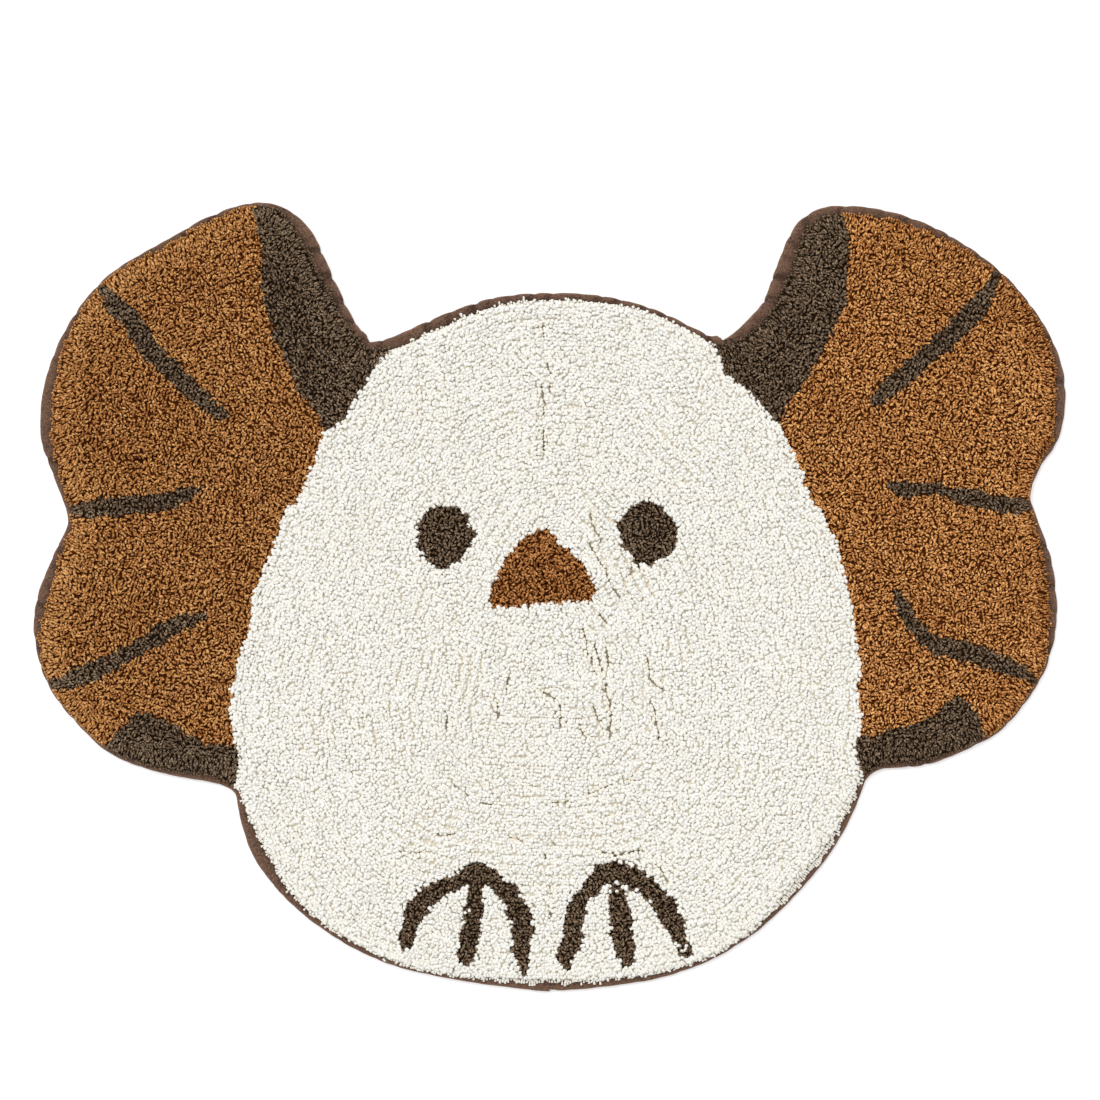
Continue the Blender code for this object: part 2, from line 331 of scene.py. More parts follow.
# How much a yarn's colour varies from end to end and from ply to ply, and how fine its plies are.
Variety = namedtuple("Variety", "ends plies fineness")
EVEN = Variety(0.08, 2.1, 680.0)
MIXED = Variety(0.13, 3.6, 760.0)

# The lightest tone of each yarn, which also paints highlights on the tips, and how light the left wing's, the
# right wing's and the beak's ochre is. The left wing's is painted darker as shade and the right wing's lighter
# as lit.
LIGHTEST_HIGHLIT_WHITE = (0.92, 0.915, 0.885)
LIGHTEST_HIGHLIT_BROWN = (0.31, 0.225, 0.145)
LIGHTEST_HIGHLIT_OCHRE = (0.88, 0.50, 0.19)
LIGHTEST_HIGHLIT_BEAK = (0.66, 0.32, 0.115)
LEFT_WING_IN_SHADE, RIGHT_WING_IN_LIGHT, BEAK_SHADE = 0.83, 0.99, 0.73


class RugPile(PropertyGroup):
    """How the pile is tufted."""

    spacing: FloatProperty(
        name="Spacing", description="Distance between yarn ends", default=0.0030, unit="LENGTH", precision=4
    )
    straying: FloatProperty(
        name="Straying", description="How far a yarn end strays, as a share of the spacing", default=0.27
    )
    lean: FloatProperty(
        name="Lean", description="How far a yarn end leans", default=0.0036, unit="LENGTH", precision=4
    )
    end: FloatProperty(
        name="End", description="Half the width of a cut end", default=0.0020, unit="LENGTH", precision=4
    )
    blunt: FloatProperty(
        name="Blunt", description="How far the middle of a cut end stands out of its edge", default=0.0010,
        unit="LENGTH", precision=4
    )
    root: FloatProperty(
        name="Root", description="Height at which yarns start", default=0.0056, unit="LENGTH", precision=4
    )
    ground: FloatProperty(
        name="Ground", description="Height of the packed yarn", default=0.0095, unit="LENGTH", precision=4
    )
    seed: IntProperty(name="Seed", description="Starts the random spread of the yarns", default=7)


class RugYarns(PropertyGroup):
    """The colours of the yarns at their cut ends, and the darker colours painted deep down between them as
    shade.
    """

    white: FloatVectorProperty(
        name="White", description="Ends of the body's yarn", default=(0.83, 0.815, 0.767), subtype="COLOR"
    )
    # Painted shade: the white yarn's colour deep between the ends, where little light reaches.
    white_in_shade: FloatVectorProperty(
        name="White Below", description="That yarn lower down", default=(0.89, 0.825, 0.68), subtype="COLOR"
    )
    ochre: FloatVectorProperty(
        name="Ochre", description="Ends of the wings' yarn", default=(0.495, 0.197, 0.051), subtype="COLOR"
    )
    # Painted shade: the ochre yarn's colour deep between the ends.
    ochre_in_shade: FloatVectorProperty(
        name="Ochre Below", description="That yarn lower down", default=(0.13, 0.034, 0.005), subtype="COLOR"
    )
    brown: FloatVectorProperty(
        name="Brown", description="Ends of the markings' yarn", default=(0.117, 0.074, 0.044), subtype="COLOR"
    )
    # Painted shade: the brown yarn's colour deep between the ends.
    brown_in_shade: FloatVectorProperty(
        name="Brown Below", description="That yarn lower down", default=(0.036, 0.019, 0.008), subtype="COLOR"
    )


class RugCloth(PropertyGroup):
    """The tape and the backing."""

    step: FloatProperty(
        name="Step", description="Distance between tape sections", default=0.0026, unit="LENGTH", precision=4
    )
    tape_under: FloatProperty(
        name="Tape Under", description="Tape's width under the rug", default=0.012, unit="LENGTH", precision=4
    )
    overlap: FloatProperty(
        name="Overlap", description="How far the tape's ends overlap", default=0.014, unit="LENGTH"
    )
    pucker: FloatProperty(
        name="Pucker", description="Depth of the tape's puckers", default=0.0018, unit="LENGTH", precision=4
    )
    pucker_length: FloatProperty(
        name="Pucker Length", description="Distance between two puckers", default=0.021, unit="LENGTH"
    )
    twill: FloatProperty(
        name="Twill", description="Distance between twill ribs", default=0.0009, unit="LENGTH", precision=4
    )
    weave: FloatProperty(
        name="Weave", description="Distance between threads", default=0.0016, unit="LENGTH", precision=4
    )
    stitch: FloatProperty(
        name="Stitch", description="Length of one stitch", default=0.0032, unit="LENGTH", precision=4
    )
    tape: FloatVectorProperty(
        name="Tape", description="Colour of the tape", default=(0.146, 0.083, 0.055), subtype="COLOR"
    )
    backing: FloatVectorProperty(
        name="Backing", description="Colour of the backing", default=(0.55, 0.50, 0.42), subtype="COLOR"
    )


class RugStudio(PropertyGroup):
    """The floor, the light and the camera."""

    view_width: FloatProperty(
        name="View Width", description="How much of the floor the picture shows", default=1.068, unit="LENGTH"
    )
    view_x: FloatProperty(name="View X", description="X of the camera", default=0.0005, unit="LENGTH")
    view_y: FloatProperty(name="View Y", description="Y of the camera", default=0.0451, unit="LENGTH")
    lens: FloatProperty(name="Lens", description="Focal length", default=100.0, unit="CAMERA")
    key: FloatProperty(name="Key", description="Strength of the soft light from above", default=1.5)
    key_size: FloatProperty(name="Key Size", description="Angle of that light", default=0.8, unit="ROTATION")
    sky: FloatProperty(name="Sky", description="Strength of the light from all round", default=0.88)
    floor: FloatVectorProperty(
        name="Floor", description="Colour of the floor", default=(0.92, 0.92, 0.92), subtype="COLOR"
    )


# Outlines


def lengths(ways):
    return np.linalg.norm(ways, axis=1)


def unit(ways):
    return ways / lengths(ways)[:, None]


def to_next(ring):
    """The ways from each of a ring's points to the next."""
    return np.roll(ring, -1, axis=0) - ring


def left_of(ways):
    return np.column_stack([-ways[:, 1], ways[:, 0]])


def at_height(points, height):
    return np.column_stack([points, np.full(len(points), height)])


def signed_area(ring):
    x, y = ring.T
    return 0.5 * np.sum(x * np.roll(y, -1) - np.roll(x, -1) * y)


def ring_at(solid, height):
    """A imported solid's ring of vertices at one height, anticlockwise from the bottom of the belly."""
    mesh = bmesh.new()
    mesh.from_mesh(solid.data)
    bmesh.ops.remove_doubles(mesh, verts=mesh.verts, dist=TINY)
    level = {v for v in mesh.verts if abs(v.co.z - height) < 2e-5}
    neighbours = {v: [e.other_vert(v) for e in v.link_edges if e.other_vert(v) in level] for v in level}
    mesh_ring, here = [], next(iter(level))
    while here is not None:
        mesh_ring.append(here)
        level.discard(here)
        here = next((v for v in neighbours[here] if v in level), None)
    ring = np.array([v.co[:2] for v in mesh_ring])
    mesh.free()
    if level or len(ring) < 3:
        raise RuntimeError(f"{solid.name} has no single ring at {height}")
    if signed_area(ring) < 0:
        ring = ring[::-1]
    lowest = np.argmin(np.hypot(ring[:, 0], ring[:, 1] - ring[:, 1].min()))
    return np.roll(ring, -lowest, axis=0)


def smooth(ring, counts):
    """A smooth closed curve through a ring's vertices, with so many points on each span."""
    points = []
    for i, count in enumerate(counts):
        before, start, end, after = (ring[(i + k) % len(ring)] for k in (-1, 0, 1, 2))
        t = (np.arange(count) / count)[:, None]
        points.append(
            start
            + 0.5 * t * (end - before)
            + t**2 * (before - 2.5 * start + 2 * end - 0.5 * after)
            + t**3 * (-0.5 * before + 1.5 * start - 1.5 * end + 0.5 * after)
        )
    return np.concatenate(points)


Edge = namedtuple("Edge", "outer inward leg pile")


@functools.cache
def rug_edge(step):
    """The tape's outer edge, the ways in from it, how far in its upper leg ends, and the pile's edge."""
    outer = ring_at(BINDING, TAPE_WIDEST)
    leg = ring_at(BINDING, TAPE_LEG_TOP)
    pile = ring_at(CLOTH, PILE_WIDEST)
    if not len(outer) == len(leg) == len(pile):
        raise RuntimeError("the tape and the pile don't have the same number of sections")
    counts = np.maximum(1, np.round(lengths(to_next(outer)) / step)).astype(int)
    outer, leg, pile = smooth(outer, counts), smooth(leg, counts), smooth(pile, counts)
    return Edge(outer, unit(leg - outer), lengths(leg - outer), pile)


def inside(points, border):
    """Which points lie inside a closed row of points."""
    x, y = points[:, :1], points[:, 1:2]
    x0, y0 = border[:, 0], border[:, 1]
    x1, y1 = np.roll(x0, -1), np.roll(y0, -1)
    crosses = (y0 > y) != (y1 > y)
    reach = x0 + (y - y0) * (x1 - x0) / np.where(y1 == y0, 1, y1 - y0)
    return (crosses & (x < reach)).sum(axis=1) % 2 == 1


def nearest(points, places):
    """For each point the nearest of the places, and how far off it is."""
    tree = KDTree(len(places))
    for i, place in enumerate(places):
        tree.insert((*place, 0), i)
    tree.balance()
    found = [tree.find((*point, 0)) for point in points]
    return places[[f[1] for f in found]], np.array([f[2] for f in found])


def clear_of(points, places, distance):
    """The points that lie farther than that from every one of the places."""
    return points[nearest(points, places)[1] > distance]


# The motif


def away_from(points, start, end):
    """How far along a straight stretch each point is, as a share, and the way from there to the point."""
    run = end - start
    share = np.clip((points - start) @ run / (run @ run), 0, 1)
    return share, points - start - run * share[:, None]


def on_line(points, marks):
    """Which points lie on a line of brown yarn."""
    found = np.zeros(len(points), bool)
    for first, second in zip(marks, marks[1:]):
        share, away = away_from(points, np.array(first[:2]) * MM, np.array(second[:2]) * MM)
        width = (first.width + (second.width - first.width) * share) * MM
        found |= lengths(away) < width / 2
    return found


def between(points, flanks):
    """Which points lie between the left and the right flank, no lower than the last of them."""
    rows = np.array(flanks)[::-1] * MM
    left = np.interp(points[:, 1], rows[:, 0], rows[:, 1])
    right = np.interp(points[:, 1], rows[:, 0], rows[:, 2])
    return (points[:, 0] > left) & (points[:, 0] < right) & (points[:, 1] > rows[0, 0])


def yarn_at(points):
    """The yarn that each point is tufted with."""
    yarn = np.full(len(points), OCHRE)
    yarn[between(points, LEADING_EDGES)] = BROWN_EDGE
    for marks in WING_STRIPES:
        yarn[on_line(points, marks)] = BROWN_MARK
    for patch in WING_PATCHES:
        yarn[inside(points, np.array(patch) * MM)] = BROWN_MARK
    yarn[between(points, FLANKS) | (points[:, 1] < FLANKS[-1].y * MM)] = WHITE
    for eye in EYES:
        yarn[inside(points, np.array(eye) * MM)] = BROWN_EYE
    for marks in TOES:
        yarn[on_line(points, marks)] = BROWN_FOOT
    for speck in WHITE_SPECKS:
        yarn[lengths(points - np.array(speck) * MM) < SPECK] = WHITE
    yarn[inside(points, np.array(BEAK) * MM)] = OCHRE_BEAK
    return yarn


def body_outline(pile):
    """The white body's outline, anticlockwise from the bottom: belly, right flank, crown and left flank."""
    rows = np.array(FLANKS)[::-1] * MM
    step, neck, half_crown, rounding = 0.002, 0.24, 0.15, 5
    y = np.arange(rows[0, 0], neck, step)
    window = np.hanning(2 * rounding + 3)[1:-1]
    window /= window.sum()
    flanks = []
    for side in (1, 2):
        x = np.interp(y, rows[:, 0], rows[:, side])
        x = np.convolve(np.pad(x, rounding, mode="edge"), window, mode="valid")
        flanks.append(np.column_stack([x, y]))
    left, right = flanks
    belly = pile[:, 1] < rows[0, 0]
    crown = (np.abs(pile[:, 0]) < half_crown) & (pile[:, 1] > 0)
    right_end = np.argmin(belly)
    left_belly = pile[right_end:][belly[right_end:]]
    return np.concatenate([pile[:right_end], right, pile[crown], left[::-1], left_belly])


# The pile


def drift(points, kind):
    """A smooth push in the plane at each point."""
    noise.seed_set(DRIFT_SEED)
    size = kind.length
    return np.array([noise.noise_vector((x / size, y / size, kind.layer))[:2] for x, y in points])


def swell(points, kind):
    """A smooth number from about -1 to 1 at each point."""
    return np.array([noise.noise((x / kind.length, y / kind.length, kind.layer)) for x, y in points])


def habit(white, name):
    """What each tuft does, by whether it is white."""
    return np.where(white, *HABITS[name])


def pile_height(points):
    """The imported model's height under each point, and its edge's height past its edge."""
    solid = CLOTH.data
    tree = BVHTree.FromPolygons([v.co for v in solid.vertices], [p.vertices[:] for p in solid.polygons])
    down = Vector((0, 0, -1))
    heights = []
    for x, y in points:
        place = tree.ray_cast(Vector((x, y, 1.0)), down)[0]
        heights.append(PILE_WIDEST if place is None else max(place.z, PILE_WIDEST))
    return np.array(heights)


def grid(low, high, spacing):
    """Points in staggered rows over a box."""
    rows = []
    for k, y in enumerate(np.arange(low[1], high[1], spacing * math.sqrt(3) / 2)):
        x = np.arange(low[0] + spacing * (k % 2) / 2, high[0], spacing)
        rows.append(np.column_stack([x, np.full(len(x), y)]))
    return np.concatenate(rows)


def stretches(places):
    """The start and end of each straight stretch of a line, whose places are in millimetres."""
    places = [np.array(place) * MM for place in places]
    return zip(places, places[1:])


def along_line(places, step):
    """Points so far apart along a line."""
    points = []
    for start, end in stretches(places):
        count = max(2, int(np.linalg.norm(end - start) / step))
        points.append(start + (end - start) * (np.arange(count) / count)[:, None])
    return np.concatenate([*points, [end]])


def grid_round(points, distance):
    """Eight places round each point, without those that nearly meet."""
    angle = np.arange(8) * math.pi / 4
    places = points[:, None] + distance * np.column_stack([np.cos(angle), np.sin(angle)])
    kept = []
    for place in places.reshape(-1, 2):
        if not kept or np.min(np.sum((np.array(kept) - place) ** 2, axis=1)) > (MEETING * distance) ** 2:
            kept.append(place)
    return np.array(kept)


def rows_along(border, pitch, spacing, rng):
    """Points in rows along a closed border, one row inside the other until they meet."""
    first_row, slack, slack_growth = 0.3 * pitch, 0.2 * pitch, 0.006
    inward = left_of(unit(np.roll(border, -1, axis=0) - np.roll(border, 1, axis=0)))
    points, distance = [], first_row
    while True:
        row = border + inward * distance
        clear = nearest(row, border)[1] > distance - slack - slack_growth * distance
        if not clear.any():
            return np.concatenate(points)
        first = 0 if clear.all() else np.argmin(clear)
        row, clear = np.roll(row, -first, axis=0), np.roll(clear, -first)
        if clear.all():
            row, clear = np.vstack([row, row[:1]]), np.append(clear, True)
        cuts = np.flatnonzero(np.diff(clear.astype(int))) + 1
        for part in np.split(np.arange(len(row)), cuts):
            if len(part) > 1 and clear[part[0]]:
                line = row[part]
                along = np.concatenate([[0], np.cumsum(lengths(np.diff(line, axis=0)))])
                place = (np.arange(int(along[-1] / spacing)) + rng.uniform(0, 1)) * spacing
                place = place[place < along[-1]]
                points.append(np.column_stack([np.interp(place, along, line[:, axis]) for axis in (0, 1)]))
        distance += pitch


def fill_gaps(points, low, high, spacing):
    """The points without any that lie on another, and with more of them where the rows left a gap."""
    cells, kept = {}, []
    size = MEETING * spacing
    for i, (x, y) in enumerate(points):
        column, row = int(x // size), int(y // size)
        near = [cells.get((column + a, row + b), ()) for a in (-1, 0, 1) for b in (-1, 0, 1)]
        if all(math.hypot(x - points[k][0], y - points[k][1]) > size for cell in near for k in cell):
            cells.setdefault((column, row), []).append(i)
            kept.append(i)
    points = points[kept]
    more_apart, gap = 1.1, 0.8
    return np.concatenate([points, clear_of(grid(low, high, more_apart * spacing), points, gap * spacing)])


def rim_inset(points):
    """How far in from the pile's edge the white rim stops at each point."""
    away = points - np.array(BODY_MIDDLE) * MM
    direction = np.degrees(np.arctan2(away[:, 1], away[:, 0])) % 360
    places = np.array(RIM)
    return np.interp(direction, places[:, 0], places[:, 1], period=360) * MM


def rows_of_tips(edge, body, spacing, straying, rng):
    """Where the ends are, in rows along the outlines of the rug and of the white body, a little astray."""
    pitch = ROW / ENDS_A_ROW
    spacing = spacing**2 * math.sqrt(0.75) / pitch
    border = ring_at(CLOTH, PILE_WIDEST)
    wings = rows_along(edge.pile, pitch, spacing, rng)
    wings = wings[~inside(wings, body)]
    tip = np.concatenate([wings, rows_along(body, pitch, spacing, rng)])
    tip = tip[inside(tip, border)]
    tip = fill_gaps(tip, edge.pile.min(axis=0), edge.pile.max(axis=0), spacing)
    tip += rng.normal(0, straying * spacing, tip.shape)
    return tip[inside(tip, border)]


def leaning(tip, white, rng):
    """The way that each yarn leans, in clumps and in wide swirls."""
    clumping, single, least, most = 1.5, 0.35, 0.5, 1.2
    way = clumping * drift(tip, CLUMPS) + habit(white, "swirl")[:, None] * drift(tip, SWIRLS)
    way += rng.normal(0, single, tip.shape)
    length = lengths(way)[:, None]
    way *= np.clip(length, least, most) / np.maximum(length, TINY)
    return way * habit(white, "lean")[:, None]


def stand_apart(tip, body, place, distance, white):
    """How the tips move and dip where rows stand apart, which run along the body's or the rug's outline."""
    in_body = inside(tip, body)
    body_place, body_distance = nearest(tip, body)
    row_place = np.where(in_body[:, None], body_place, place)
    row_distance = np.where(in_body, body_distance, distance)
    inward = (row_place - tip) / np.maximum(row_distance, TINY)[:, None]
    sideways, down, row_start, gap_length, at_parting = 0.0010, 0.0003, 0.43, 0.02, 0.75
    row = np.floor(row_distance / ROW + 1 - row_start)
    gaps = [(x / gap_length, y / gap_length, 1.7 * k) for (x, y), k in zip(row_place, row)]
    gaps = np.array([noise.noise(gap) for gap in gaps])
    apart = 0.30 + 0.8 * swell(tip, ROWS_APART)
    for x, y, radius in PARTINGS:
        far = lengths(tip - np.array((x, y)) * MM) / (radius * MM)
        apart += at_parting * np.exp(-(far**2))
    apart = np.clip(apart, 0.1, 1.15) * np.clip(0.55 + 2.4 * gaps, 0, 1.5) * habit(white, "apart")
    phase = 2 * math.pi * (row_distance / ROW - row_start)
    return inward * (np.sin(phase) * apart * sideways)[:, None], (0.5 - 0.5 * np.cos(phase)) * apart * down


def open_cracks(tip, dip, white):
    """Moves the tips off the cracks, in place, and lets those beside a crack dip."""
    lower_belly, narrower = -0.15, 0.8
    width = (0.75 + 0.6 * swell(tip, CRACK_WIDTHS)) * np.where(tip[:, 1] < lower_belly, narrower, 1.0)
    width *= habit(white, "crack")
    shifted = tip + CRACK_STRAYING * drift(tip, CRACK_WAYS)
    for crack in CRACKS:
        for start, end in stretches(crack):
            _, away = away_from(shifted, start, end)
            far = lengths(away)
            short = np.clip(CRACK * width - far, 0, None)
            tip += away / np.maximum(far, TINY)[:, None] * short[:, None]
            dip += CRACK_DIP * (short > 0)


def low_rows(edge, rng):
    """The roots and tips of the two rows that lie under the ends of the outermost one."""
    coloured_out, single, wander = 0.0008, 0.45, 0.0012
    root = [edge.pile + edge.inward * rng.uniform(*inset, (len(edge.pile), 1)) for inset in LOW_ROWS]
    root = np.concatenate(root)
    place = np.concatenate([edge.pile] * len(LOW_ROWS))
    locks = swell(place, LOCKS)[:, None] + rng.normal(0, single, (len(place), 1))
    white = yarn_at(root) == WHITE
    out = np.where(white, -rim_inset(place), coloured_out)[:, None]
    tip = place + unit(place - root) * (out + habit(white, "low_lock")[:, None] * locks)
    tip += wander * drift(place, LOW_TIPS)
    return root, tip


def drawn_back(root, tip, outer):
    """The tips, of which those that reach too far over the tape are drawn back towards their roots."""
    fold, gap = nearest(tip, outer)
    past = (gap < TAPE_SHOWN) | ~inside(tip, outer)
    tip[past] = fold[past] + unit(root[past] - fold[past]) * TAPE_SHOWN
    return tip


def foot_and_top(root, tip, dip, white, edge, root_height, rng):
    """The heights of each yarn's foot and top. The low rows, which don't dip, come last."""
    roughness, waves, beside_tape, least_height = 0.0006, 0.0005, 0.006, 0.0010
    edge_foot, low_foot, low_top, low_roughness = 0.0067, 0.0066, 0.0079, 0.0004
    upper = len(dip)
    rough = rng.normal(0, roughness, len(root))
    rough[:upper] *= habit(white, "rough")
    top = pile_height(tip) + rough + waves * swell(root, PILE_TOP)
    top[:upper] -= dip
    top[upper:] = rng.normal(low_top, low_roughness, len(root) - upper)
    foot = np.full(len(root), root_height)
    foot[nearest(root, edge.pile)[1] < beside_tape] = edge_foot
    foot[upper:] = low_foot
    return foot, np.maximum(top, foot + least_height)


# Each yarn end: its root, how far its tip lies from that, the heights of its foot and its top, its yarn, how
# light it is (its own tone, with painted light on coloured ends laid down at the rim), its turn, how deep it
# lies in a crack (which darkens it as painted shade), its thickness and how far it is laid down near the edge.
Tufts = namedtuple("Tufts", "root reach foot top yarn tint spin sunk slim laid")


@functools.cache
def tufts(spacing, straying, lean, root_height, seed):
    """Every yarn end of the pile, the low rows last."""
    rng = np.random.default_rng(seed)
    edge = rug_edge(PILE_STEP)
    body = body_outline(edge.pile)
    tip = rows_of_tips(edge, body, spacing, straying, rng)
    place, distance = nearest(tip, edge.pile)
    outward = (place - tip) / distance[:, None]
    white = yarn_at(tip) == WHITE

    # Each tip is where the rows put it, and its root lies back from it by the yarn's lean.
    laid_within, rim_width, coloured_out, lock_reach, single = 0.030, 0.007, 0.0004, 0.0030, 0.35
    way = leaning(tip, white, rng)
    zone = (np.clip(1 - distance / laid_within, 0, 1) * habit(white, "laid"))[:, None]
    rim = np.clip(1 - distance / rim_width, 0, 1)[:, None]
    root = tip - lean * (way * (1 - 0.6 * zone - 0.2 * rim) + outward * (1.3 * zone + 0.6 * rim))
    locks = swell(place, LOCKS)[:, None] + rng.normal(0, single, (len(tip), 1))
    tip += outward * rim * (np.where(white, -rim_inset(tip), coloured_out)[:, None] + lock_reach * locks)

    move, dip = stand_apart(tip, body, place, distance, white)
    tip += move
    clump_size, clump_straying = 0.0075, 0.0016
    middle = grid(edge.pile.min(axis=0), edge.pile.max(axis=0), clump_size)
    middle += rng.normal(0, clump_straying, middle.shape)
    tip += (nearest(tip, middle)[0] - tip) * (0.12 + 0.20 * rim)
    open_cracks(tip, dip, white)

    upper = len(tip)
    low_root, low_tip = low_rows(edge, rng)
    root = np.concatenate([root, low_root])
    tip = drawn_back(root, np.concatenate([tip, low_tip]), edge.outer)
    foot, top = foot_and_top(root, tip, dip, white, edge, root_height, rng)
    reach = tip - root

    feet_below, feet_ragged, ragged, single = -0.25, 0.0040, 0.0026, 0.0006
    border = np.where(root[:, 1] < feet_below, feet_ragged, ragged)[:, None] * drift(root, RAGGED_BORDER)
    yarn = yarn_at(root + 0.8 * reach + border + rng.normal(0, single, root.shape))
    tint = rng.normal(0, 1, len(root))
    spin = rng.uniform(0, 2 * math.pi, len(root))
    sunk, laid = np.zeros(len(root)), np.ones(len(root))
    sunk[:upper] = np.clip(dip / CRACK_DIP, 0, 1)
    laid[:upper] = zone[:, 0]
    slim = habit(yarn == WHITE, "low_width")
    slim[:upper] = 1 - habit(yarn[:upper] == WHITE, "rim_slimming") * rim[:, 0]
    # Painted light: coloured ends laid down near the rim are lighter the farther left they lie, towards the key
    # light, and darker at the far right.
    tint += np.where(yarn == WHITE, 0.0, 0.55 - 2.0 * root[:, 0]) * laid
    return Tufts(root, reach, foot, top, yarn, tint, spin, sunk, slim, laid)


def all_tufts():
    sizes = bpy.context.scene.rug_pile
    return tufts(sizes.spacing, sizes.straying, sizes.lean, sizes.root, sizes.seed)


# Meshes


def rug_collection():
    found = bpy.data.collections.get(COLLECTION)
    if found is None:
        found = bpy.data.collections.new(COLLECTION)
        bpy.context.scene.collection.children.link(found)
    return found


def mesh_of(name, vertices, *faces):
    """A smooth mesh. Each array of faces has the corners of faces with one number of corners."""
    mesh = bpy.data.meshes.new(name)
    mesh.vertices.add(len(vertices))
    mesh.vertices.foreach_set("co", np.asarray(vertices, np.float32).ravel())
    corners = np.concatenate([f.ravel() for f in faces]).astype(np.int32)
    sizes = np.concatenate([np.full(len(f), f.shape[1]) for f in faces])
    starts = np.concatenate([[0], np.cumsum(sizes)[:-1]]).astype(np.int32)
    mesh.loops.add(len(corners))
    mesh.loops.foreach_set("vertex_index", corners)
    mesh.polygons.add(len(sizes))
    mesh.polygons.foreach_set("loop_start", starts)
    mesh.update(calc_edges=True)
    mesh.validate()
    mesh.shade_smooth()
    return mesh


def number_each(mesh, name, values):
    """Gives each vertex a number, which materials read by that name."""
    mesh.attributes.new(name, "FLOAT", "POINT").data.foreach_set("value", np.asarray(values, np.float32))


def show(mesh, material, slot, *solids):
    """Makes a mesh a piece of the rug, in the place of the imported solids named."""
    mesh.materials.append(material)
    piece = bpy.data.objects.new(mesh.name, mesh)
    rug_collection().objects.link(piece)
    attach(piece, "root")
    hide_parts(*solids)
    return piece


def repeated(faces, count, each):
    """The faces of one thing for each of so many things, which have that many vertices each."""
    starts = (np.arange(count) * each)[:, None, None]
    return (starts + faces).reshape(-1, faces.shape[1])


def yarn_ends(name, chosen, material, slot, shape):
    """One piece of pile: a straight yarn with a blunt, lobed end for each chosen tuft, all in one mesh."""
    sides, flare, lobes, lobe_depth, longer_by_laid, thicker_by_tint = 6, 1.6, 2.0, 0.16, 0.5, 0.08
    sizes = bpy.context.scene.rug_pile
    root, reach, foot, top, _, tint, spin, sunk, slim, laid = (column[chosen] for column in all_tufts())
    count = len(root)
    tip = np.column_stack([root + reach, top])
    axis = unit(np.column_stack([flare * reach, top - foot]))
    side = unit(np.column_stack([-axis[:, 1], axis[:, 0], np.zeros(count)]))
    other = np.cross(axis, side)
    middle = tip - axis * sizes.blunt * shape.blunt
    long = shape.long * (1 + longer_by_laid * laid[:, None])
    thick = sizes.end * ((1 + thicker_by_tint * np.clip(tint, -2, 2)) * slim)[:, None]
    rings = [np.column_stack([root, foot])]
    for k in range(sides):
        angle = (spin + 2 * math.pi * k / sides)[:, None]
        lobe = 1 + lobe_depth * np.sin(lobes * angle + 5.0 * tint[:, None])
        across = np.cos(angle) * side * shape.wide + np.sin(angle) * other * long
        rings.append(middle + across * thick * lobe)
    rings.append(tip)
    each = len(rings)
    k = np.arange(sides)
    after = (k + 1) % sides
    bottoms = np.column_stack([0 * k, 1 + after, 1 + k])
    tops = np.column_stack([1 + k, 1 + after, 0 * k + 1 + sides])
    triangles = repeated(np.concatenate([bottoms, tops]), count, each)
    mesh = mesh_of(name, np.stack(rings, axis=1).reshape(-1, 3), triangles)
    number_each(mesh, "tint", np.repeat(tint, each))
    # Painted shade: the lit share falls from the tip to the root, and further beside a crack.
    at_brim, crack_shade_by = 0.7, 0.35
    lit_share = np.repeat([[0.0] + [at_brim] * sides + [1.0]], count, axis=0)
    number_each(mesh, "lit_share", (lit_share - crack_shade_by * sunk[:, None]).ravel())
    return show(mesh, material, slot, "tufted_cloth")


def wall(first, second, count):
    """Quads between two rings of so many vertices, by the places of their first vertices."""
    i = np.arange(count)
    j = (i + 1) % count
    return np.column_stack([first + i, first + j, second + j, second + i])


# Materials


def node(tree, kind, place, settings=None, **values):
    """A node of that kind, with its settings and the values of its sockets."""
    made = tree.nodes.new(kind)
    made.location = place
    for name, value in (settings or {}).items():
        setattr(made, name, value)
    for name, value in values.items():
        made.inputs[name.replace("_", " ")].default_value = value
    return made


def attribute(tree, place, name, output="Fac"):
    return node(tree, "ShaderNodeAttribute", place, {"attribute_name": name}).outputs[output]


def grain(tree, place, vector, scale, detail=3.0):
    """Noise that repeats roughly so many times in a metre."""
    made = node(tree, "ShaderNodeTexNoise", place, Scale=scale, Detail=detail)
    tree.links.new(vector, made.inputs["Vector"])
    return made.outputs["Fac"]


def calculate(tree, place, operation, *values):
    """A Math node. Each value is a number or the output that it comes from."""
    made = node(tree, "ShaderNodeMath", place, {"operation": operation})
    for socket, value in zip(made.inputs, values):
        if isinstance(value, (int, float)):
            socket.default_value = value
        else:
            tree.links.new(value, socket)
    return made.outputs["Value"]


def weighed(tree, place, total, *terms):
    """A number and, added to it, each output times its weight."""
    for k, (output, weight) in enumerate(terms):
        total = calculate(tree, (place[0] + 180 * k, place[1]), "MULTIPLY_ADD", output, weight, total)
    return total


def colour_between(tree, surface, factor, first, second):
    """Colours a surface with a mix of two colours."""
    mix = node(tree, "ShaderNodeMix", (-200, 100), {"data_type": "RGBA"})
    colours = [s for s in mix.inputs if s.type == "RGBA"]
    for socket, colour in zip(colours, (first, second)):
        socket.default_value = (*colour, 1)
    tree.links.new(factor, next(s for s in mix.inputs if s.name == "Factor" and s.type == "VALUE"))
    tree.links.new(next(s for s in mix.outputs if s.type == "RGBA"), surface.inputs["Base Color"])


def shaded(colour, factor):
    return [c * factor for c in colour]


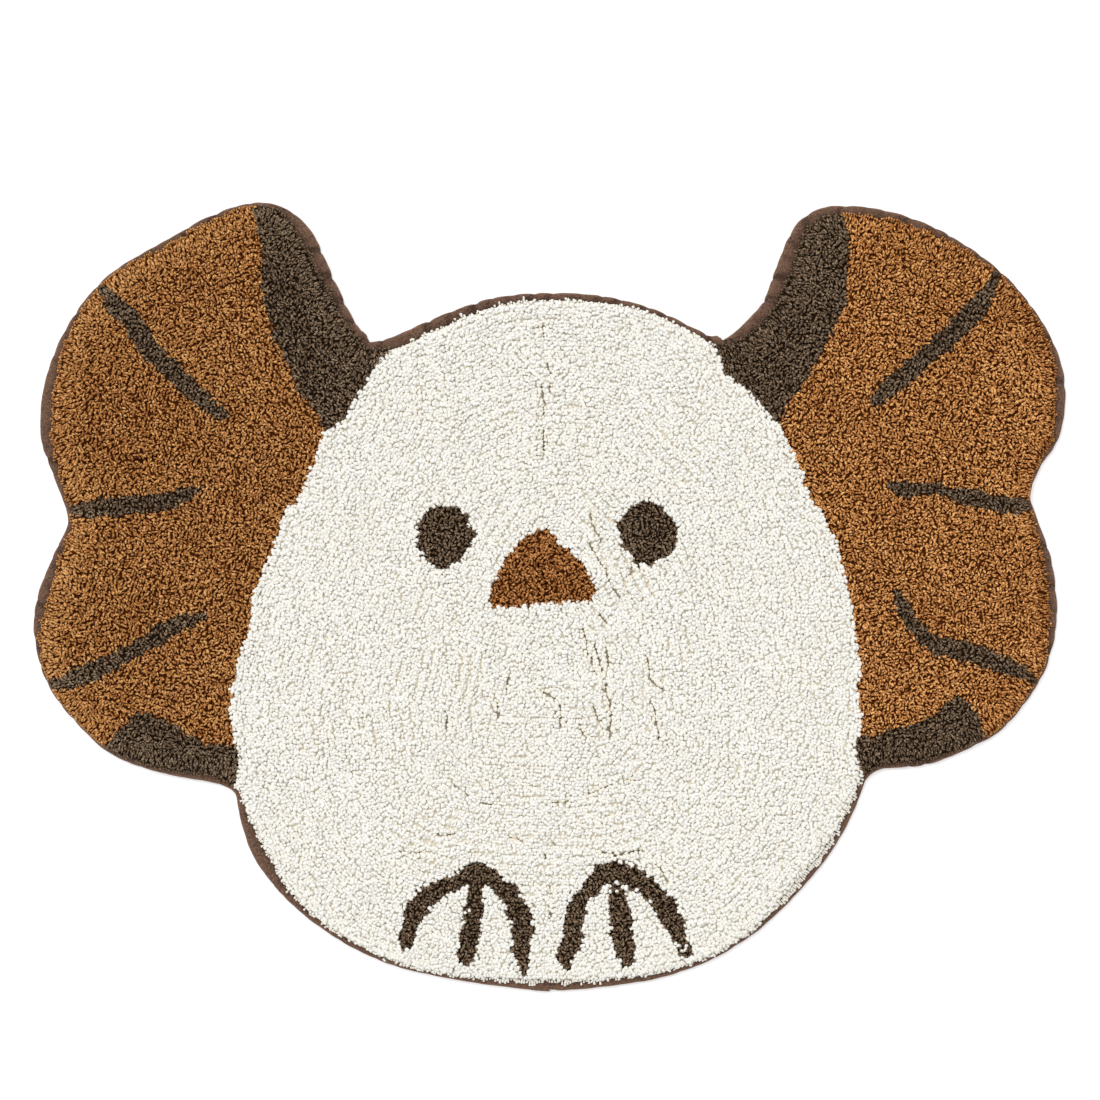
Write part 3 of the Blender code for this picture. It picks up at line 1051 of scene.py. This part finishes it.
def matte(name, roughness, sheen):
    """A new matte material, its tree, its surface and the places on the object."""
    material = bpy.data.materials.new(name)
    material.use_nodes = True
    tree = material.node_tree
    surface = tree.nodes["Principled BSDF"]
    surface.inputs["Roughness"].default_value = roughness
    surface.inputs["Specular IOR Level"].default_value = 0.08
    surface.inputs["Sheen Weight"].default_value = sheen
    surface.inputs["Sheen Roughness"].default_value = 0.5
    return material, tree, surface, node(tree, "ShaderNodeTexCoord", (-1400, 0)).outputs["Object"]


def bump(tree, place, height, strength, depth):
    made = node(tree, "ShaderNodeBump", place, Strength=strength, Distance=depth)
    tree.links.new(height, made.inputs["Height"])
    return made


def roughen(tree, surface, vector, scale, strength, depth):
    """Fine fibres or grain as bump."""
    fibres = bump(tree, (-400, -550), grain(tree, (-650, -550), vector, scale), strength, depth)
    tree.links.new(fibres.outputs["Normal"], surface.inputs["Normal"])
    return fibres


def yarn_material(name, light, end, deep, variety):
    """Cut yarn, painted darker towards its root and beside cracks as shade between the ends, with its lightest
    tones also serving as painted highlights on the tips. Each end is a little lighter or darker than the next.
    """
    material, tree, surface, place = matte(name, roughness=0.95, sheen=0.03)
    end_tone, plies, slow = 0.62, variety.plies, 2.8 * variety.ends
    lit_share = attribute(tree, (-1400, -200), "lit_share")
    smoothly = {"interpolation_type": "SMOOTHSTEP"}
    # Painted shade: the colour darkens from the tip down to the root, and beside cracks.
    up = node(tree, "ShaderNodeMapRange", (-1100, -200), smoothly, From_Min=0.1, From_Max=0.9)
    tree.links.new(lit_share, up.inputs["Value"])
    value = weighed(
        tree,
        (-850, 500),
        end_tone - 0.5 * plies - 0.5 * slow,
        (attribute(tree, (-1400, 500), "tint"), variety.ends),
        (grain(tree, (-1100, 650), place, variety.fineness), plies),
        (grain(tree, (-1100, 250), place, scale=14.0), slow),
    )
    # From painted shade at the root, through the yarn's own end colour, to its lightest tone, which also paints
    # highlights on the tips.
    tones = node(tree, "ShaderNodeValToRGB", (-250, 100))
    ramp = tones.color_ramp.elements
    ramp[0].position, ramp[0].color = 0.0, (*deep, 1)
    ramp[1].position, ramp[1].color = 1.0, (*light, 1)
    ramp.new(end_tone).color = (*end, 1)
    shade = calculate(tree, (-450, 100), "MULTIPLY", value, up.outputs["Result"])
    tree.links.new(shade, tones.inputs["Fac"])
    tree.links.new(tones.outputs["Color"], surface.inputs["Base Color"])
    roughen(tree, surface, place, scale=620.0, strength=0.9, depth=0.0009)
    return material


def packed_yarn_material():
    """The yarns packed together below their ends, in the painted shade colours that the vertices hold."""
    material, tree, surface, place = matte("packed_yarn", roughness=1.0, sheen=0.0)
    clumps = grain(tree, (-1000, 300), place, scale=350.0)
    tinted = node(tree, "ShaderNodeHueSaturation", (-300, 0))
    tree.links.new(weighed(tree, (-550, 300), 0.5, (clumps, 0.8)), tinted.inputs["Value"])
    tree.links.new(attribute(tree, (-800, 100), "shaded_yarn_colour", "Color"), tinted.inputs["Color"])
    tree.links.new(tinted.outputs["Color"], surface.inputs["Base Color"])
    roughen(tree, surface, place, scale=350.0, strength=0.8, depth=0.001)
    return material


def bands(tree, place, vector, direction, distance):
    """A wave along X, Y or both that repeats after so far."""
    spread = math.sqrt(2) if direction == "DIAGONAL" else 1.0
    scale = 2 * math.pi / (20 * distance * spread)
    settings = {"bands_direction": direction}
    wave = node(tree, "ShaderNodeTexWave", place, settings, Scale=scale, Distortion=0.6, Detail=1.0)
    tree.links.new(vector, wave.inputs["Vector"])
    return wave.outputs["Fac"]


def tape_material():
    """Brown cotton tape in a fine twill. It is lighter along its fold as wear, and painted darker as shade next
    to the pile, under the rug and in the creases of its puckers.
    """
    sizes = bpy.context.scene.rug_cloth
    material, tree, surface, place = matte("brown_twill_tape", roughness=0.85, sheen=0.05)
    cloth = attribute(tree, (-1400, -200), "cloth", "Vector")
    ribs = bands(tree, (-1100, -200), cloth, "DIAGONAL", sizes.twill)
    light = weighed(
        tree,
        (-850, 450),
        -0.80,
        (grain(tree, (-1100, 300), place, scale=55.0, detail=4.0), 0.35),
        # painted shade next to the pile and under the rug, and lighter wear along the outer fold
        (attribute(tree, (-1400, 600), "worn"), 0.28),
        (grain(tree, (-1100, 800), place, scale=520.0), 1.7),
        # painted shade in the creases of the puckers
        (attribute(tree, (-1400, 900), "fold"), -0.5),
        (ribs, 0.12),
    )
    colour_between(tree, surface, light, shaded(sizes.tape, 0.37), shaded(sizes.tape, 1.75))
    weave = bump(tree, (-650, -350), ribs, strength=0.5, depth=0.00025)
    fibres = roughen(tree, surface, place, scale=900.0, strength=0.3, depth=0.0003)
    tree.links.new(weave.outputs["Normal"], fibres.inputs["Normal"])
    return material


def backing_material():
    """Beige backing cloth in plain weave."""
    sizes = bpy.context.scene.rug_cloth
    material, tree, surface, place = matte("plain_woven_backing", roughness=0.9, sheen=0.1)
    warp = bands(tree, (-1100, 100), place, "X", sizes.weave)
    weft = bands(tree, (-1100, -200), place, "Y", sizes.weave)
    threads = calculate(tree, (-850, 0), "MAXIMUM", warp, weft)
    slow = grain(tree, (-1100, 400), place, scale=25.0, detail=4.0)
    light = weighed(tree, (-650, 300), 0.0, (slow, 0.4), (threads, 0.6))
    colour_between(tree, surface, light, shaded(sizes.backing, 0.55), shaded(sizes.backing, 1.15))
    weave = bump(tree, (-650, -350), threads, strength=0.7, depth=0.0004)
    fibres = roughen(tree, surface, place, scale=1200.0, strength=0.3, depth=0.0003)
    tree.links.new(weave.outputs["Normal"], fibres.inputs["Normal"])
    return material


def thread_material():
    """Sewing thread, a shade darker than the tape."""
    material, tree, surface, place = matte("brown_sewing_thread", roughness=0.6, sheen=0.1)
    plies = grain(tree, (-700, 200), place, scale=900.0, detail=2.0)
    colour_between(tree, surface, plies, (0.05, 0.03, 0.02), (0.16, 0.10, 0.065))
    roughen(tree, surface, place, scale=1500.0, strength=0.4, depth=0.0002)
    return material


def floor_material():
    """Plain pale floor with the faintest grain, lifted a little towards white."""
    material, tree, surface, place = matte("pale_floor", roughness=0.9, sheen=0.0)
    floor = bpy.context.scene.rug_studio.floor
    fine = grain(tree, (-700, 200), place, scale=300.0, detail=2.0)
    colour_between(tree, surface, fine, shaded(floor, 0.99), floor)
    surface.inputs["Emission Color"].default_value = (1, 1, 1, 1)
    surface.inputs["Emission Strength"].default_value = 0.18
    return material


# Operators


class RUG_OT_set_up_studio(Operator):
    """Lays the floor and sets up the light and the camera, straight above the rug"""

    bl_idname = "rug.set_up_studio"
    bl_label = "Set Up Studio"

    def execute(self, context):
        scene, sizes = context.scene, context.scene.rug_studio
        half, light_from, sensor = 30.0, (-0.48, 0.72, 1.0), 36.0
        corners = [(-half, -half, 0), (half, -half, 0), (half, half, 0), (-half, half, 0)]
        mesh = mesh_of("floor", corners, np.array([[0, 1, 2, 3]]))
        mesh.materials.append(floor_material())
        floor = bpy.data.objects.new("floor", mesh)
        scene.collection.objects.link(floor)

        key = bpy.data.lights.new("key", "SUN")
        key.energy = sizes.key
        key.angle = sizes.key_size
        lamp = bpy.data.objects.new("key", key)
        lamp.rotation_euler = Vector(light_from).to_track_quat("Z", "Y").to_euler()
        scene.collection.objects.link(lamp)
        world = bpy.data.worlds.new("studio")
        world.use_nodes = True
        sky = world.node_tree.nodes["Background"]
        sky.inputs["Color"].default_value = (1, 1, 1, 1)
        sky.inputs["Strength"].default_value = sizes.sky
        scene.world = world
        scene.view_settings.view_transform = "Standard"

        camera = bpy.data.cameras.new("camera")
        camera.lens = sizes.lens
        camera.sensor_width = sensor
        camera.sensor_fit = "HORIZONTAL"
        view = bpy.data.objects.new("camera", camera)
        view.location = (sizes.view_x, sizes.view_y, sizes.view_width * camera.lens / camera.sensor_width)
        scene.collection.objects.link(view)
        scene.camera = view
        return {"FINISHED"}


class RUG_OT_bind_edge(Operator):
    """Folds the tape round the edge, with its puckers and overlapping ends, and sews its seam underneath"""

    bl_idname = "rug.bind_edge"
    bl_label = "Bind Edge"

    def execute(self, context):
        sizes = context.scene.rug_cloth
        edge = rug_edge(sizes.step)
        order, along = self.wind(sizes, edge.outer)
        outer, inward, leg = edge.outer[order], edge.inward[order], edge.leg[order]
        folds = self.folds(sizes, outer, inward, along)
        rings = self.sections(sizes, outer, inward, leg, along, folds)
        each, last = rings.shape[1], len(along) - 1
        k = np.arange(each)
        after = (k + 1) % each
        quads = repeated(np.column_stack([k, after, each + after, each + k]), last, each)
        ends = np.stack([k[::-1], last * each + k])
        mesh = mesh_of("edge_tape", rings.reshape(-1, 3), quads, ends)
        bm = bmesh.new()
        bm.from_mesh(mesh)
        bmesh.ops.recalc_face_normals(bm, faces=bm.faces)
        bm.to_mesh(mesh)
        bm.free()
        across = np.linalg.norm(np.diff(rings, axis=1, prepend=rings[:, :1]), axis=2).cumsum(axis=1)
        cloth = np.stack([np.repeat(along, each), across.ravel(), np.zeros(across.size)], axis=1)
        made = mesh.attributes.new("cloth", "FLOAT_VECTOR", "POINT")
        made.data.foreach_set("vector", cloth.astype(np.float32).ravel())
        # Painted shade next to the pile and under the rug, and lighter wear along the outer fold.
        number_each(mesh, "worn", np.tile([s.worn for s in TAPE_SECTION + TAPE_UNDER_SECTION], len(along)))
        flat = [np.zeros(len(along))] * len(TAPE_UNDER_SECTION)
        # How deep in a pucker's crease each vertex lies, which the tape's material paints as shade.
        number_each(mesh, "fold", np.stack([np.clip(f, 0, None) for f in folds] + flat, axis=1).ravel())
        show(mesh, tape_material(), "binding", "edge_binding")
        self.sew(sizes, edge)
        return {"FINISHED"}

    def wind(self, sizes, outer):
        """The places that the tape passes, a little more than once round, and how far along it they are."""
        count = len(outer)
        x, y = TAPE_JOIN
        join = np.argmin(np.hypot(outer[:, 0] - x + sizes.overlap, outer[:, 1] - y))
        order = (join + np.arange(count + int(round(sizes.overlap / sizes.step)))) % count
        return order, np.concatenate([[0], np.cumsum(lengths(to_next(outer))[order[:-1]])])

    def folds(self, sizes, outer, inward, along):
        """How deeply each section of the tape's upper part is folded, all along. This sets the depth of its
        puckers and the painted shade in their creases.
        """
        least_convex, calm_belly, wandering, slant, dent_width = 0.45, 0.35, 0.9, 0.0009, 0.0024
        turn = inward - np.roll(inward, 4, axis=0)
        convex = np.sum(turn * np.roll(outer, 4, axis=0) - turn * outer, axis=1) * 4000
        convex = np.clip(convex, least_convex, 1.0)
        calm = np.where(outer[:, 1] < FLANKS[-1].y * MM, calm_belly, 1.0)
        wander = np.array([wandering * noise.noise((s / 0.05, 3.1, 0.0)) for s in along])
        deep = np.random.default_rng(5).uniform(0.15, 1.0, 400)
        dents = [along[np.argmin(lengths(outer - np.array(dent[:2]) * MM))] for dent in DENTS]
        folds = []
        for k in range(len(TAPE_SECTION)):
            phase = along / sizes.pucker_length + 0.06 * k + wander
            fold = (1 - np.abs(np.sin(math.pi * phase))) ** 1.4 * deep[np.round(phase).astype(int) + 5]
            fold *= convex * calm
            for dent, place in zip(DENTS, dents):
                shift = math.copysign(slant, -dent.x) * (k - 9)
                fold += dent.depth * np.exp(-(((along - place + shift) / dent_width) ** 2))
            folds.append(fold)
        return folds

    def sections(self, sizes, outer, inward, leg, along, folds):
        """The corners of each section of the tape, all along it."""
        ramp, lifted, tucked_by = 0.006, 0.0008, 0.0006
        tucked = np.clip(1 - (along - sizes.overlap) / ramp, 0, 1)
        above = np.clip((along - along[-1] + sizes.overlap + ramp) / ramp, 0, 1)
        rings = []
        for k, section in enumerate(TAPE_SECTION):
            waves = np.array([noise.noise((s / 0.013, 7.7, 0.35 * k)) for s in along])
            pucker = section.give * (folds[k] - 0.3 * waves) * sizes.pucker
            lift = (lifted * above - tucked_by * tucked) * section.give
            pushed = pucker * (1 if section.height < 6 else 0.2)
            inset = section.inset * MM + section.leg_share * leg + pushed - lift * 0.9
            lowered = pucker * (0.9 if section.height > 5 else 0.0)
            height = section.height * MM + np.zeros(len(along)) - lowered + lift * (section.height > 2.5)
            rings.append(np.column_stack([outer + inward * inset[:, None], height]))
        for section in TAPE_UNDER_SECTION:
            inset = section.inset * MM + section.leg_share * sizes.tape_under
            rings.append(at_height(outer + inward * inset, section.height * MM))
        return np.stack(rings, axis=1)

    def sew(self, sizes, edge):
        """The seam that holds the tape, seen on its leg under the rug."""
        from_leg_end, radius, clearance, sides = 0.002, 0.00028, 0.00008, 4
        half = sizes.stitch * 0.40
        # Where along half a stitch each ring lies, and its width as a share of the widest.
        profile = ((-1.0, 0.0), (-0.7, 0.8), (0.0, 1.0), (0.7, 0.8), (1.0, 0.0))
        line = edge.outer + edge.inward * (sizes.tape_under - from_leg_end)
        along = np.concatenate([[0], np.cumsum(lengths(to_next(line)))])
        closed = np.vstack([line, line[:1]])
        count = int(along[-1] / sizes.stitch)
        middle = (np.arange(count) + 0.5) * along[-1] / count
        before, after = (
            np.column_stack([np.interp(middle + shift, along, closed[:, axis]) for axis in (0, 1)])
            for shift in (-1e-4, 1e-4)
        )
        run = unit(after - before)
        centre, beside = (before + after) / 2, left_of(run)
        points = []
        for place, width in profile:
            for k in range(sides if width else 1):
                angle = 2 * math.pi * k / sides
                flat = centre + run * place * half + beside * math.cos(angle) * radius * width
                points.append(at_height(flat, clearance + math.sin(angle) * radius * width))
        k = np.arange(sides)
        after = (k + 1) % sides
        start = np.column_stack([0 * k, 1 + k, 1 + after])
        end = np.column_stack([1 + 2 * sides + k, 0 * k + 1 + 3 * sides, 1 + 2 * sides + after])
        quads = np.concatenate([wall(1 + r * sides, 1 + (r + 1) * sides, sides)[:, ::-1] for r in (0, 1)])
        each = len(points)
        triangles = repeated(np.concatenate([start, end]), count, each)
        vertices = np.stack(points, axis=1).reshape(-1, 3)
        mesh = mesh_of("seam_stitches", vertices, triangles, repeated(quads, count, each))
        show(mesh, thread_material(), "binding", "edge_binding")


class RUG_OT_tuft_body(Operator):
    """Tufts the white body, in three pieces from the head down"""

    bl_idname = "rug.tuft_body"
    bl_label = "Tuft Body"

    def execute(self, context):
        yarns = context.scene.rug_yarns
        material = yarn_material("white_yarn", LIGHTEST_HIGHLIT_WHITE, yarns.white, yarns.white_in_shade, EVEN)
        white, y = all_tufts().yarn == WHITE, all_tufts().root[:, 1]
        head, belly = y >= HEAD_FROM, y < BELLY_BELOW
        yarn_ends("pile_head", white & head, material, "pile_white", WHITE_END)
        yarn_ends("pile_breast", white & ~head & ~belly, material, "pile_white", WHITE_END)
        yarn_ends("pile_belly", white & belly, material, "pile_white", WHITE_END)
        return {"FINISHED"}


class RUG_OT_tuft_wings(Operator):
    """Tufts the ochre wings with their brown leading edges, stripes and patches"""

    bl_idname = "rug.tuft_wings"
    bl_label = "Tuft Wings"

    def execute(self, context):
        yarns = context.scene.rug_yarns
        brown = yarn_material("brown_yarn", LIGHTEST_HIGHLIT_BROWN, yarns.brown, yarns.brown_in_shade, MIXED)
        yarn, x = all_tufts().yarn, all_tufts().root[:, 0]
        # Lit and shaded copies of one ochre: the left wing is painted darker as shade.
        for name, side, light in (("left", x < 0, LEFT_WING_IN_SHADE), ("right", x > 0, RIGHT_WING_IN_LIGHT)):
            tones = shaded(LIGHTEST_HIGHLIT_OCHRE, light), shaded(yarns.ochre, light), yarns.ochre_in_shade
            ochre = yarn_material(f"ochre_yarn_{name}", *tones, MIXED)
            yarn_ends(f"pile_wing_{name}", (yarn == OCHRE) & side, ochre, "pile_ochre", OCHRE_END)
        yarn_ends("pile_wing_edges", yarn == BROWN_EDGE, brown, "pile_brown", BROWN_END)
        yarn_ends("pile_wing_marks", yarn == BROWN_MARK, brown, "pile_brown", BROWN_END)
        return {"FINISHED"}


class RUG_OT_tuft_face_and_feet(Operator):
    """Tufts the eyes, the beak and the feet"""

    bl_idname = "rug.tuft_face_and_feet"
    bl_label = "Tuft Face and Feet"

    def execute(self, context):
        yarns = context.scene.rug_yarns
        brown = yarn_material("brown_yarn_face", LIGHTEST_HIGHLIT_BROWN, yarns.brown, yarns.brown_in_shade, MIXED)
        tones = LIGHTEST_HIGHLIT_BEAK, shaded(yarns.ochre, BEAK_SHADE), yarns.ochre_in_shade
        ochre = yarn_material("ochre_yarn_beak", *tones, MIXED)
        yarn = all_tufts().yarn
        yarn_ends("pile_eyes", yarn == BROWN_EYE, brown, "pile_brown", BROWN_END)
        yarn_ends("pile_feet", yarn == BROWN_FOOT, brown, "pile_brown", BROWN_END)
        yarn_ends("pile_beak", yarn == OCHRE_BEAK, ochre, "pile_ochre", OCHRE_END)
        return {"FINISHED"}


def four_ways(reach):
    return (reach, 0), (-reach, 0), (0, reach), (0, -reach)


class RUG_OT_pack_yarn(Operator):
    """Fills the space between the backing and the yarn ends with the yarns' packed lower parts"""

    bl_idname = "rug.pack_yarn"
    bl_label = "Pack Yarn"

    def execute(self, context):
        sizes = context.scene.rug_pile
        edge = rug_edge(HIDDEN_STEP)
        count = len(edge.outer)
        past_leg, to_brim, to_rim = 0.0006, 0.0024, 0.0034
        foot_low, foot_high, brim_height, groove_height = 0.0030, 0.0064, 0.0068, 0.0080
        foot = edge.outer + edge.inward * (edge.leg + past_leg)[:, None]
        brim, rim = edge.pile + edge.inward * to_brim, edge.pile + edge.inward * to_rim
        unevenness, white_higher = 0.0005, 0.0014
        inner, groove = self.places(rim)
        flat = np.concatenate([rim, inner, groove])
        border = [list(range(count))]
        corners, _, faces = delaunay_2d_cdt([Vector(p) for p in flat], [], border, 1, 1e-7)[:3]
        if len(corners) != len(flat):
            raise RuntimeError("the packed yarn's top could not be filled")
        triangles = np.array([f for f in faces if len(f) == 3])
        top = at_height(np.array([tuple(corner) for corner in corners]), sizes.ground)
        top[count:, 2] += unevenness * drift(top[count:, :2], PACKED_TOP)[:, 0]
        top[count:, 2] += white_higher * (self.yarn_below(top[count:, :2]) == WHITE)
        top[-len(groove):, 2] = groove_height
        sides = at_height(foot, foot_low), at_height(foot, foot_high), at_height(brim, brim_height)
        vertices = np.concatenate([top, *sides])
        first = len(top)
        rings = (first, first + count, first + 2 * count, 0)
        walls = np.concatenate([wall(lower, upper, count) for lower, upper in zip(rings, rings[1:])])
        bottom = np.arange(first, first + count)[::-1][None, :]
        mesh = mesh_of("packed_yarn", vertices, triangles, walls, bottom)
        self.colour(mesh, vertices, slice(first - len(groove), first), context.scene.rug_yarns)
        show(mesh, packed_yarn_material(), "pile_white", "tufted_cloth")
        return {"FINISHED"}

    def places(self, rim):
        """The top's places within its rim, closer together along the white yarn's border and the cracks.

        The places in the cracks come by themselves.
        """
        low, high = rim.min(axis=0), rim.max(axis=0)
        loose, close, apart, border_width = 0.008, 0.0026, 0.003, 0.002
        bank, bank_apart, off_cracks = 0.0033, 0.0028, 0.005
        groove = np.concatenate([along_line(crack, apart) for crack in CRACKS])
        groove -= CRACK_STRAYING * drift(groove, CRACK_WAYS)
        inner = grid(low, high, loose)
        inner = clear_of(inner[inside(inner, rim)], rim, apart)
        fine = grid(low, high, close)
        white = yarn_at(fine) == WHITE
        at_border = np.zeros(len(fine), bool)
        for shift in four_ways(border_width):
            at_border |= (yarn_at(fine + shift) == WHITE) != white
        fine = clear_of(fine[at_border & inside(fine, rim)], rim, apart)
        inner = np.concatenate([clear_of(inner, fine, apart), fine])
        banks = clear_of(grid_round(groove, bank), groove, bank_apart)
        return np.concatenate([clear_of(inner, groove, off_cracks), banks]), groove

    def yarn_below(self, points):
        """The yarn packed at each point, where the darker yarns reach a little way under the white one."""
        found = yarn_at(points)
        for shift in four_ways(0.0015):
            found = np.where(found == WHITE, yarn_at(points + shift), found)
        return found

    def colour(self, mesh, vertices, groove, yarns):
        """Colours each vertex with its yarn's painted shade colour deep down, darker still in the cracks as
        painted shade.
        """
        shade, white_lighter, crack_shade = 0.75, 1.2, 0.45
        deep = {WHITE: yarns.white_in_shade, OCHRE: yarns.ochre_in_shade, OCHRE_BEAK: yarns.ochre_in_shade}
        found = self.yarn_below(vertices[:, :2])
        colours = np.array([(*shaded(deep.get(yarn, yarns.brown_in_shade), shade), 1.0) for yarn in found])
        colours[found == WHITE, :3] *= white_lighter
        colours[groove, :3] *= crack_shade
        layer = mesh.attributes.new("shaded_yarn_colour", "FLOAT_COLOR", "POINT")
        layer.data.foreach_set("color", colours.astype(np.float32).ravel())


class RUG_OT_lay_backing(Operator):
    """Lays the backing cloth, with its raw edge in the fold of the tape"""

    bl_idname = "rug.lay_backing"
    bl_label = "Lay Backing"

    def execute(self, context):
        edge = rug_edge(HIDDEN_STEP)
        count = len(edge.outer)
        under = context.scene.rug_cloth.tape_under
        # How far in from the tape's outer edge each ring lies, and its height.
        profile = (
            (under + 0.0007, 0.0001),
            (under + 0.0004, 0.0013),
            (0.0024, 0.0014),
            (0.0020, 0.0021),
            (0.0024, 0.0028),
        )
        rings = [at_height(edge.outer + edge.inward * inset, height) for inset, height in profile]
        walls = [wall((k + 1) * count, k * count, count)[:, ::-1] for k in range(len(rings) - 1)]
        caps = np.stack([np.arange(count)[::-1], (len(rings) - 1) * count + np.arange(count)])
        mesh = mesh_of("backing_cloth", np.concatenate(rings), np.concatenate(walls), caps)
        others = list(rug_collection().objects)
        piece = show(mesh, backing_material(), "backing", "tufted_cloth")
        return {"FINISHED"}


STEPS = (
    RUG_OT_set_up_studio,
    RUG_OT_bind_edge,
    RUG_OT_tuft_body,
    RUG_OT_tuft_wings,
    RUG_OT_tuft_face_and_feet,
    RUG_OT_pack_yarn,
    RUG_OT_lay_backing,
)
SIZES = (("rug_pile", RugPile), ("rug_yarns", RugYarns), ("rug_cloth", RugCloth), ("rug_studio", RugStudio))


class RUG_PT_rug(Panel):
    """The rug's sizes and the steps that make it"""

    bl_idname = "RUG_PT_rug"
    bl_label = "Bird Shaped Rug"
    bl_space_type = "VIEW_3D"
    bl_region_type = "UI"
    bl_category = "Rug"

    def draw(self, context):
        layout = self.layout
        for name, group in SIZES:
            box = layout.box()
            sizes = getattr(context.scene, name)
            for entry in group.__annotations__:
                box.prop(sizes, entry)
        for step in STEPS:
            layout.operator(step.bl_idname)


def register():
    for _, group in SIZES:
        bpy.utils.register_class(group)
    for step in (*STEPS, RUG_PT_rug):
        bpy.utils.register_class(step)
    for name, group in SIZES:
        setattr(bpy.types.Scene, name, PointerProperty(type=group))


def unregister():
    for name, _ in SIZES:
        delattr(bpy.types.Scene, name)
    for step in (*STEPS, RUG_PT_rug):
        bpy.utils.unregister_class(step)
    for _, group in SIZES:
        bpy.utils.unregister_class(group)


def main():
    register()
    for step in STEPS:
        area, name = step.bl_idname.split(".")
        getattr(getattr(bpy.ops, area), name)()


if __name__ == "__main__":
    main()
